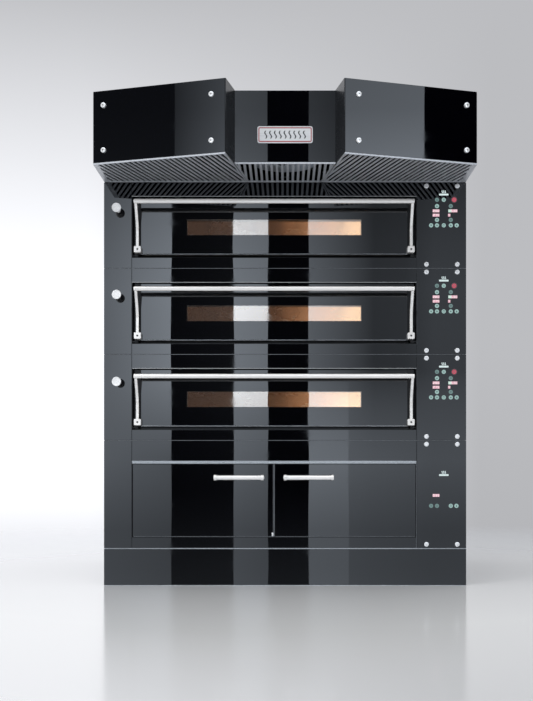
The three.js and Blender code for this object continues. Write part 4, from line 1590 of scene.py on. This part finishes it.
@dataclass
class Hood(Module):
    """The steam hood: glass wings and middle, slatted grilles below and the duct collar above."""

    grille_thick: float = 7.0
    margin: float = 22.0
    lip: float = 6.0
    pitch: float = 22.5
    slat: float = 11.0
    cap_along: Span = (48.0, 526.0)
    cap_z: Span = (57.0, 243.0)
    glass: float = 6.0
    mitre: float = 164.0
    return_half: float = 210.0
    plate_size: Point = (230.0, 70.0)
    plate_z: float = 120.0

    def __post_init__(self) -> None:
        """Works out the outline of the left wing from its design nodes."""
        wing = self.extent("hood_left_wing_panel")
        centre = self.extent("hood_centre_panel")
        grille = self.extent("hood_left_grille")
        self.outer = Vector((wing.x[0], self.outer_reach(wing)))
        self.tip = Vector((wing.x[1], wing.y[0]))
        self.recess = centre.y[0]
        self.grille_back = grille.y[1]
        self.z = (wing.z[0], wing.z[1])
        self.along = (self.tip - self.outer).normalized()
        self.out = Vector((self.along.y, -self.along.x))

    def outer_reach(self, wing: Extent) -> float:
        """How far forward the wing's outer corner is: its box less the glass's own depth there.

        Args:
            wing: The wing's box.

        Returns:
            The corner's y in millimetres.
        """
        run = wing.x[1] - wing.x[0]
        rise = wing.y[1] - wing.y[0]
        slant = rise
        for _ in range(8):
            slant = rise - self.glass * math.hypot(run, slant) / run
        return wing.y[0] + slant

    def wing_plane(self, side: int) -> Plane:
        """The plane of a wing's glass. u runs inwards from the outer corner and w into the hood.

        Args:
            side: "left" or "right".

        Returns:
            The plane.
        """
        mirror = Vector((-side, 1))
        outer = Vector((self.outer.x * mirror.x, self.outer.y))
        along = Vector((self.along.x * mirror.x, self.along.y))
        inward = Vector((-self.out.x * mirror.x, -self.out.y))
        return Plane(outer.to_3d(), along.to_3d(), UP, inward.to_3d())

    def build(self) -> None:
        """Makes the whole hood."""
        self.keep("hood_shell", BLACK_STEEL)
        for side, name in ((-1, "left"), (1, "right")):
            self.build_wing(side, name)
            self.build_side_sheet(side, name)
            self.build_grille(f"{name}_grille", self.wing_grille(side), self.wing_plane(side).w.to_2d())
        self.build_centre()
        centre = [(-self.return_half + 1, self.recess), (self.return_half - 1, self.recess),
                  (self.mitre, self.grille_back), (-self.mitre, self.grille_back)]
        self.build_grille("centre_grille", centre, Vector((0, 1)))
        self.build_back_cover()
        self.build_duct()
        self.build_impeller()

    def build_wing(self, side: int, name: str) -> None:
        """Makes one wing's glass and its caps.

        Args:
            side: "left" or "right".
            name: The design node of its glass.
        """
        plane = self.wing_plane(side)
        length = (self.tip - self.outer).length
        places = [(u, z) for u in self.cap_along for z in self.cap_z]
        glass = Shape().extrude(rectangle((0.4, length - 0.6), self.z), (0, self.glass - 0.2), plane,
                                holes=[circle(place, 5.5, 24) for place in places], arris=0.7)
        self.place(glass, f"hood_{name}_wing_glass", BLACK_GLASS, replaces=[f"hood_{name}_wing_panel"])
        caps = Shape()
        for u, z in places:
            caps.turn(cap_profile(10.9, 7.9), plane.at(u, z, 0), -plane.w, 40)
        self.place(caps, f"hood_{name}_wing_caps", CHROME)
        returns = self.return_plane(side)
        depth = (Vector((self.return_half, self.recess)) - Vector((abs(self.tip.x), self.tip.y))).length
        side_glass = Shape().extrude(rectangle((2.0, depth - 0.5), self.z), (0.1, 2.2), returns, arris=0.3)
        self.place(side_glass, f"hood_{name}_return_sheet", BLACK_STEEL)

    def return_plane(self, side: int) -> Plane:
        """The plane of the short face between a wing's tip and the middle panel, w pointing outwards.

        Args:
            side: "left" or "right".

        Returns:
            The plane.
        """
        tip = Vector((abs(self.tip.x) * side, self.tip.y))
        inner = Vector((self.return_half * side, self.recess))
        along = (inner - tip).normalized()
        out = Vector((-side * abs(along.y), -abs(along.x)))
        return Plane(tip.to_3d(), along.to_3d(), UP, out.to_3d())

    def build_centre(self) -> None:
        """Makes the middle glass and the plain plate on it."""
        panel = self.extent("hood_centre_panel")
        glass = Shape().slab(panel.x, panel.y, panel.z, 0.7)
        self.place(glass, "hood_centre_glass", BLACK_GLASS, replaces=["hood_centre_panel"])
        face = panel.y[0]
        width, height = self.plate_size
        z = (self.plate_z - height / 2, self.plate_z + height / 2)
        plate = Shape().extrude(rounded((-width / 2, width / 2), z, 9, 6), (face - 3.2, face), arris=1.0)
        self.place(plate, "hood_plain_plate", PLATE_STEEL)
        border = rounded((-width / 2 + 5, width / 2 - 5), (z[0] + 5, z[1] - 5), 6, 5)
        inlay = Shape().extrude(border, (face - 3.6, face - 3.2), holes=[moved_in(border, 3.6)], arris=0.15)
        self.place(inlay, "hood_plate_inlay", PLATE_RED)
        waves = Shape()
        for shift in range(-80, 81, 20):
            side = [(shift + 4 * math.sin(i / 10 * 2 * math.pi), z[0] + 19 + i * 3.2) for i in range(11)]
            ribbon = [(u - 2.4, v) for u, v in side[::-1]] + [(u + 2.4, v) for u, v in side]
            waves.extrude(ribbon, (face - 3.7, face - 3.2), arris=0.15)
        self.place(waves, "hood_plate_waves", BLACK_ENAMEL)

    def wing_grille(self, side: int) -> Outline:
        """The outline of a wing's grille, counter-clockwise.

        Args:
            side: "left" or "right".

        Returns:
            The outline.
        """
        points = [(self.outer.x, self.outer.y), (self.tip.x, self.tip.y),
                  (-self.mitre - 1, self.grille_back), (self.outer.x, self.grille_back)]
        return points if side < 0 else [(-x, y) for x, y in reversed(points)]

    def grille_field(self, outline: Outline, wider: float) -> Outline:
        """The opening of a grille's rim: narrow in front and behind, and wide at the hood's ends.

        Args:
            outline: The grille's outline.
            wider: How much wider the opening is made.

        Returns:
            The opening.
        """
        field = moved_in(outline, self.lip - wider)
        reach = abs(self.outer.x) - self.margin + wider
        for side in (-1, 1):
            field = clipped(field, Vector((reach * side, 0)), Vector((-side, 0)))
        return field

    def build_grille(self, name: str, outline: Outline, direction: Vector) -> None:
        """Makes one grille: a rim with screws, and chamfered slats along a plan direction.

        Args:
            name: The grille's name.
            outline: Its counter-clockwise plan outline.
            direction: The way that its slats run.
        """
        field = self.grille_field(outline, 0.0)
        rim = Shape().extrude(outline, (0, self.grille_thick), PLAN, holes=[field], arris=0.9)
        start, end = Vector(outline[0]), Vector(outline[1])
        steps = 4
        for i in range(steps):
            spot = start.lerp(end, (i + 0.5) / steps)
            inward = Vector((start.y - end.y, end.x - start.x)).normalized() * self.lip / 2
            screw_head(rim, (spot.x + inward.x, spot.y + inward.y, 0.05), -UP, 2.6, 0.05)
        self.place(rim, f"hood_{name}_rim", GRILLE_STEEL, replaces=[f"hood_{name}"])
        along = direction.normalized()
        across = Vector((along.y, -along.x))
        reaches = [Vector(point).dot(across) for point in outline]
        middle = (min(reaches) + max(reaches)) / 2
        half = int((max(reaches) - min(reaches)) / 2 / self.pitch) + 1
        slats = Shape()
        inner = self.grille_field(outline, 1.5)
        for i in range(-half, half + 1):
            reach = middle + (i + 0.5) * self.pitch
            strip = clipped(inner, across * (reach - self.slat / 2), across)
            strip = clipped(strip, across * (reach + self.slat / 2), -across) if strip else strip
            if len(strip) > 2 and (Vector(strip[0]) - Vector(strip[2])).length > 24:
                slats.extrude(strip, (0.8, self.grille_thick - 1.2), PLAN, arris=1.4)
        self.place(slats, f"hood_{name}_slats", GRILLE_STEEL)

    def build_side_sheet(self, side: int, name: str) -> None:
        """Makes the thin sheet on one end of the hood, with its screws.

        Args:
            side: "left" or "right".
            name: The piece's name.
        """
        shell = self.extent("hood_shell")
        plane = Plane(Vector((shell.x[0] if side < 0 else shell.x[1], 0, 0)), BACK, UP, RIGHT * side)
        y = (self.outer.y + 8, shell.y[1] - 2)
        sheet = Shape().extrude(rectangle(y, (10, shell.z[1] - 2)), (0.1, 1.2), plane, arris=0.3)
        for i in range(5):
            for z in (26, shell.z[1] - 18):
                place = plane.at(y[0] + 20 + (y[1] - y[0] - 40) * i / 4, z, 1.15)
                screw_head(sheet, place, plane.w, 4.2, 0.6)
        self.place(sheet, f"hood_{name}_end_sheet", BLACK_STEEL)

    def build_back_cover(self) -> None:
        """Makes the cover on the hood's back, with its screws."""
        shell = self.extent("hood_shell")
        plane = Plane(Vector((0, shell.y[1], 0)), RIGHT, UP, BACK)
        x = (shell.x[0] + 26, shell.x[1] - 26)
        z = (26, shell.z[1] - 22)
        cover = Shape().extrude(rounded(x, z, 10), (GAP, 2.2), plane, arris=0.5)
        for i in range(6):
            for height in (z[0] + 12, z[1] - 12):
                place = plane.at(x[0] + 12 + (x[1] - x[0] - 24) * i / 5, height, 2.1)
                screw_head(cover, place, BACK, 5.0, 2.4)
        self.place(cover, "hood_back_cover", BLACK_STEEL)

    def build_duct(self) -> None:
        """Makes the duct collar with its flange bolts, and the fan motor on its strap."""
        box = self.extent("hood_duct_collar")
        centre = (0.0, (box.y[0] + box.y[1]) / 2)
        top, flange, inner, outer = box.z[1], 185.0, 150.5, 154.5
        seat = self.extent("hood_shell").z[1] + 0.6
        ring = [(inner, 250), (outer, 250), (outer, seat), (flange - 1, seat), (flange - 0.2, seat + 1),
                (flange - 0.2, seat + 3), (flange - 1, seat + 4), (outer + 3, seat + 4), (outer, seat + 7),
                (outer, top - 9), (outer + 3, top - 6), (flange - 1, top - 6), (flange - 0.2, top - 5),
                (flange - 0.2, top - 1), (flange - 1, top), (inner + 1, top), (inner, top - 1), (inner, 250)]
        collar = Shape().turn(ring, (centre[0], centre[1], 0), UP, 72)
        bolts = Shape()
        for i in range(8):
            angle = math.pi / 4 * (i + 0.5)
            spot = (170 * math.cos(angle), centre[1] + 170 * math.sin(angle))
            bolts.turn([(0, 0), (6.5, 0), (6.5, 3.6), (5.6, 4.4), (0, 4.4)], (*spot, seat + 4), UP, 6)
        self.place(collar, "hood_duct_ring", GALVANISED, replaces=["hood_duct_collar"])
        self.place(bolts, "hood_duct_bolts", CHROME)
        motor = [(0, 307), (40, 307), (44, 311)]
        for i in range(6):
            motor += [(44, 314 + 7 * i), (41.6, 315.5 + 7 * i), (41.6, 318.5 + 7 * i), (44, 320 + 7 * i)]
        motor += [(44, 360), (38, 366), (0, 366)]
        body = Shape().turn(motor, (centre[0], centre[1], 0), UP, 40)
        for x in ((-inner, -43), (43, inner)):
            body.slab(x, (centre[1] - 4, centre[1] + 4), (321, 349), 1.0)
        self.place(body, "hood_fan_motor", BLACK_STEEL)

    def build_impeller(self) -> None:
        """Makes the extractor's impeller: a domed hub and seven twisted blades."""
        box = self.extent("hood_fan_impeller")
        y = (box.y[0] + box.y[1]) / 2
        middle = (box.z[0] + box.z[1]) / 2
        hub = [(0, -21), (30, -20), (40, -15), (44, -8), (44, 19), (0, 19)]
        shape = Shape().turn(hub, (0, y, middle), UP, 40)
        for i in range(7):
            shape.take(self.blade(2 * math.pi * i / 7, (0, y, middle)))
        self.place(shape, "hood_fan_blades", PLASTIC, "extractor_fan", ["hood_fan_impeller"])

    @staticmethod
    def blade(turn: float, centre: Sequence[float]) -> bmesh.types.BMesh:
        """One blade, twisted from a steep root to a flat tip.

        Args:
            turn: Its place round the hub, in radians.
            centre: The hub's middle.

        Returns:
            The blade as a closed mesh.
        """
        part = bmesh.new()
        placing = Matrix.Translation(Vector(centre)) @ Matrix.Rotation(turn, 4, "Z")
        rings = []
        for i in range(9):
            share = i / 8
            radius = 42 + 96 * share
            pitch = math.radians(52 - 24 * share)
            half = 19 + 4 * math.sin(math.pi * share)
            across = Vector((0, math.cos(pitch), math.sin(pitch)))
            normal = Vector((0, -math.sin(pitch), math.cos(pitch)))
            corners = [across * half, normal * 1.6, across * -half, normal * -1.6]
            rings.append([part.verts.new(placing @ (Vector((radius, 0, 0)) + corner)) for corner in corners])
        for lower, upper in zip(rings, rings[1:]):
            for i in range(4):
                part.faces.new((lower[i - 1], lower[i], upper[i], upper[i - 1])).smooth = True
        part.faces.new(rings[0])
        part.faces.new(rings[-1])
        return part


# ---- Stage ----
@dataclass(frozen=True)
class Band:
    """A stretch of the studio that the glass mirrors, in degrees round from straight behind the camera.

    Its light runs from one level to the other across it, high up, and perhaps differently near the floor.
    """

    span: Span
    high: Span
    low: Span | None = None


@dataclass
class Studio:
    """The camera, the pale floor and the soft light, with the flags and softboxes that the glass mirrors."""

    camera_distance: float = 5.0
    camera_height: float = 0.552
    lens: float = 58.13
    shift: Point = (-0.0265, 0.157)
    floor_radius: float = 9.0
    tint: Colour = (0.90, 1.0, 1.13)
    bands: Sequence[Band] = (
        Band((-120, -75), (0.7, 1.2)), Band((-75, -46), (1.2, 0.1)), Band((-46, -40.21), (0.1, 0.1)),
        Band((-40.21, -37.7), (0.5, 1.5)), Band((-37.7, -30), (1.5, 0.7)), Band((-30, -11.5), (0.7, 0.6)),
        Band((-11.5, -5.745), (0.57, 1.86), (1.75, 1.2)), Band((-5.745, -2.61), (0.02, 0.04)),
        Band((-2.61, -0.87), (1.66, 1.40), (1.7, 1.4)), Band((-0.87, 1.19), (0.01, 0.01)),
        Band((1.19, 3.2), (0.98, 0.55), (2.3, 2.1)), Band((3.2, 4.5), (0.55, 0.26), (1.45, 1.3)),
        Band((4.5, 6.0), (0.26, 0.28), (1.3, 1.2)), Band((6.0, 7.5), (0.28, 0.42), (1.2, 1.1)),
        Band((7.5, 11.5), (0.42, 0.42), (1.1, 1.1)), Band((11.5, 28), (0.42, 0.8)),
        Band((28, 37.7), (0.8, 2.9)), Band((37.7, 41.62), (2.9, 3.2)), Band((41.62, 47), (0.0, 0.0)),
        Band((47, 80), (0.0, 1.1)), Band((80, 120), (1.1, 0.6)),
    )
    heights: Sequence[Point] = (
        (-12, 0.0), (-7, 0.36), (-5.4, 0.34), (-3.5, 0.36), (-2, 0.48), (0, 0.65), (2, 0.8), (4, 1.0),
        (8.5, 1.07), (10.8, 0.92), (13, 0.7), (15.35, 0.46), (17.2, 0.34), (20, 0.3), (28, 0.0),
    )

    def build(self) -> None:
        """Makes the stage."""
        bpy.context.scene.view_settings.view_transform = "Standard"
        self.build_camera()
        self.build_world()
        self.build_floor()
        self.build_lights()

    def build_camera(self) -> None:
        """Makes the camera, level and square to the front."""
        data = bpy.data.cameras.new("camera")
        data.lens = self.lens
        data.sensor_width = 36
        data.shift_x, data.shift_y = self.shift
        data.dof.use_dof = False
        camera = bpy.data.objects.new("camera", data)
        camera.location = (0, FRONT_Y - self.camera_distance, self.camera_height)
        camera.rotation_euler = (math.pi / 2, 0, 0)
        bpy.context.scene.collection.objects.link(camera)
        bpy.context.scene.camera = camera

    def build_world(self) -> None:
        """Makes the world: a pale backdrop for the camera, and the studio for everything else."""
        world = bpy.data.worlds.new("studio")
        bpy.context.scene.world = world
        world.use_nodes = True
        nodes = Nodes(world.node_tree)
        world.node_tree.nodes.clear()
        direction = nodes.add("TexCoord").outputs["Generated"]
        parts = nodes.add("SeparateXYZ", Vector=direction)
        x, y, z = parts.outputs
        toward = nodes.math("MULTIPLY", y, -1.0)
        azimuth = nodes.math("DEGREES", nodes.math("ARCTAN2", x, toward))
        elevation = nodes.math("DEGREES", nodes.math("ARCSINE", z))
        studio = self.studio_light(nodes, azimuth, elevation)
        backdrop = self.backdrop(nodes, x, z)
        ray = nodes.add("LightPath")
        away = nodes.math("MAXIMUM", ray.outputs["Is Camera Ray"], nodes.math("GREATER_THAN", y, 0.25))
        seen = nodes.add("Mix", data_type="RGBA", In0=away)
        nodes.link(studio, seen.inputs[6])
        nodes.link(backdrop, seen.inputs[7])
        even = nodes.add("Mix", data_type="RGBA", In0=ray.outputs["Is Diffuse Ray"])
        nodes.link(seen.outputs[2], even.inputs[6])
        nodes.link(self.room_light(nodes, x, z), even.inputs[7])
        light = nodes.add("Background", Color=even.outputs[2], Strength=1.0)
        nodes.add("OutputWorld", Surface=light.outputs[0])

    def studio_light(self, nodes: Nodes, azimuth: Socket,
                     elevation: Socket) -> Socket:
        """What the glass and metal mirror.

        Args:
            nodes: The world's nodes.
            azimuth: Degrees round from straight behind the camera.
            elevation: Degrees above the horizon.

        Returns:
            The light's colour.
        """
        near_floor = nodes.mapped(elevation, (0.0, 4.5), (1.0, 0.0))
        total = nodes.math("MULTIPLY", 0.0, 0.0)
        for band in self.bands:
            level = nodes.mapped(azimuth, band.span, band.high)
            if band.low:
                level = nodes.between(near_floor, level, nodes.mapped(azimuth, band.span, band.low))
            middle, half = sum(band.span) / 2, (band.span[1] - band.span[0]) / 2
            inside = nodes.math("COMPARE", azimuth, middle, half)
            total = nodes.math("MULTIPLY_ADD", level, inside, total)
        low, high = self.heights[0][0], self.heights[-1][0]
        lift = nodes.mapped(elevation, (low, high))
        stops = [((angle - low) / (high - low), (value / 1.1,) * 3) for angle, value in self.heights]
        banded = nodes.math("MULTIPLY", nodes.math("MULTIPLY", total, nodes.ramp(lift, stops)), 1.1)
        whole = ((-90, 0.42), (-22, 0.42), (-11, 0.12), (-5.4, 0.045), (-3.0, 0.012), (-1.5, 0.0), (24, 0.0),
                 (34, 0.72), (55, 1.0), (90, 1.0))
        sky = nodes.ramp(nodes.mapped(elevation, (-90.0, 90.0)),
                         [((angle + 90) / 180, (value,) * 3) for angle, value in whole])
        light = nodes.math("MULTIPLY_ADD", sky, 1.5, banded)
        grey = nodes.add("CombineColor", In0=light, In1=light, In2=light).outputs[0]
        return nodes.add("VectorMath", operation="MULTIPLY", In0=grey, In1=self.tint).outputs[0]

    @staticmethod
    def backdrop(nodes: Nodes, x: Socket, z: Socket) -> Socket:
        """The backdrop that the camera sees: white at the left and pale grey at the right and the top. The
        grey at the right and the top, and the darker part below the horizon, are painted shade.

        Args:
            nodes: The nodes of the tree.
            x: The direction's part along x.
            z: The direction's part along z.

        Returns:
            The backdrop's colour.
        """
        # Painted shade: the backdrop greys towards the top and the right, and darkens below the horizon.
        dim = nodes.mapped(z, (0.15, 0.40), (1.25, 0.53))
        low = nodes.mapped(z, (-0.075, -0.02), (0.68, 0.9))
        left = nodes.math("MULTIPLY", dim, low)
        right = nodes.mapped(z, (-0.10, 0.1), (0.46, 0.51))
        value = nodes.between(nodes.mapped(x, (-0.17, 0.17)), left, right)
        grey = nodes.add("CombineColor", In0=value, In1=value, In2=value).outputs[0]
        return nodes.add("VectorMath", operation="MULTIPLY", In0=grey, In1=(0.985, 0.995, 1.035)).outputs[0]

    @staticmethod
    def room_light(nodes: Nodes, x: Socket, z: Socket) -> Socket:
        """The even room light on matt surfaces: from above, stronger from the left.

        Args:
            nodes: The nodes of the tree.
            x: The direction's part along x.
            z: The direction's part along z.

        Returns:
            The light's colour.
        """
        side = nodes.mapped(x, (-1.0, 1.0), (0.92, 1.12))
        above = nodes.mapped(z, (-0.2, 0.3), (0.45, 1.0))
        value = nodes.math("MULTIPLY", side, above)
        return nodes.add("CombineColor", In0=value, In1=value, In2=value).outputs[0]

    def build_floor(self) -> None:
        """Makes the pale floor, which fades into the backdrop a little way behind the oven."""
        mesh = bpy.data.meshes.new("floor")
        ring = bmesh.new()
        corners = [ring.verts.new((u, v, 0)) for u, v in circle((0, 0), self.floor_radius, 96)]
        ring.faces.new(corners)
        ring.to_mesh(mesh)
        ring.free()
        floor = bpy.data.objects.new("floor", mesh)
        bpy.context.scene.collection.objects.link(floor)
        floor.visible_glossy = False
        material = bpy.data.materials.new("floor")
        material.use_nodes = True
        nodes = Nodes(material.node_tree)
        surface = material.node_tree.nodes["Principled BSDF"]
        place = nodes.add("TexCoord").outputs["Object"]
        parts = nodes.add("SeparateXYZ", Vector=place)
        # Painted shade and light: the floor's colour runs from darker at the left to lighter at the right.
        tone = nodes.mapped(parts.outputs[0], (-1.3, 1.3), (0.48, 0.63))
        colour = nodes.add("CombineColor", In0=tone, In1=tone, In2=tone).outputs[0]
        nodes.link(colour, surface.inputs["Base Color"])
        surface.inputs["Roughness"].default_value = 0.13
        surface.inputs["IOR"].default_value = 1.5
        distance = nodes.add("VectorMath", operation="LENGTH", In0=place).outputs["Value"]
        fade = nodes.mapped(distance, (1.7, self.floor_radius * 0.5))
        clear = nodes.add("BsdfTransparent").outputs[0]
        mixed = nodes.add("MixShader", In0=fade, In1=surface.outputs[0], In2=clear).outputs[0]
        nodes.link(mixed, material.node_tree.nodes["Material Output"].inputs[0])
        mesh.materials.append(material)

    @staticmethod
    def build_lights() -> None:
        """Makes the soft light above and to the left."""
        for name, place, size, power in (
            ("overhead_softbox", (-0.6, -2.2, 4.6), 2.6, 98.0),
            ("left_softbox", (-3.6, -4.2, 1.9), 1.8, 98.0),
        ):
            data = bpy.data.lights.new(name, "AREA")
            data.size = size
            data.energy = power
            light = bpy.data.objects.new(name, data)
            light.location = place
            light.rotation_euler = (Vector((0, 0, 0.8)) - Vector(place)).to_track_quat("-Z", "Y").to_euler()
            light.visible_glossy = False
            light.visible_camera = False
            bpy.context.scene.collection.objects.link(light)


def module_base(node: str) -> float:
    """The underside, in metres, of the module that a column panel belongs to."""
    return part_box(node)[0].z - SEAM * MM


def module_height(node: str) -> float:
    """The height, in millimetres, of the module that a column panel belongs to."""
    low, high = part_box(node)
    return (high.z - low.z) / MM + 2 * SEAM


def main() -> None:
    """Builds the stage and every sub-assembly."""
    logging.basicConfig(level=logging.INFO, format="%(name)s %(message)s")
    Studio().build()
    Plinth(0.0).build()
    panel = "proofer_left_panel"
    Proofer(module_base(panel), "proofer", module_height(panel)).build()
    for number in (1, 2, 3):
        panel = f"deck_{number}_left_panel"
        Deck(module_base(panel), f"deck_{number}", module_height(panel), number=number).build()
    Hood(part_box("deck_3_left_panel")[1].z + SEAM * MM).build()


if __name__ == "__main__":
    main()
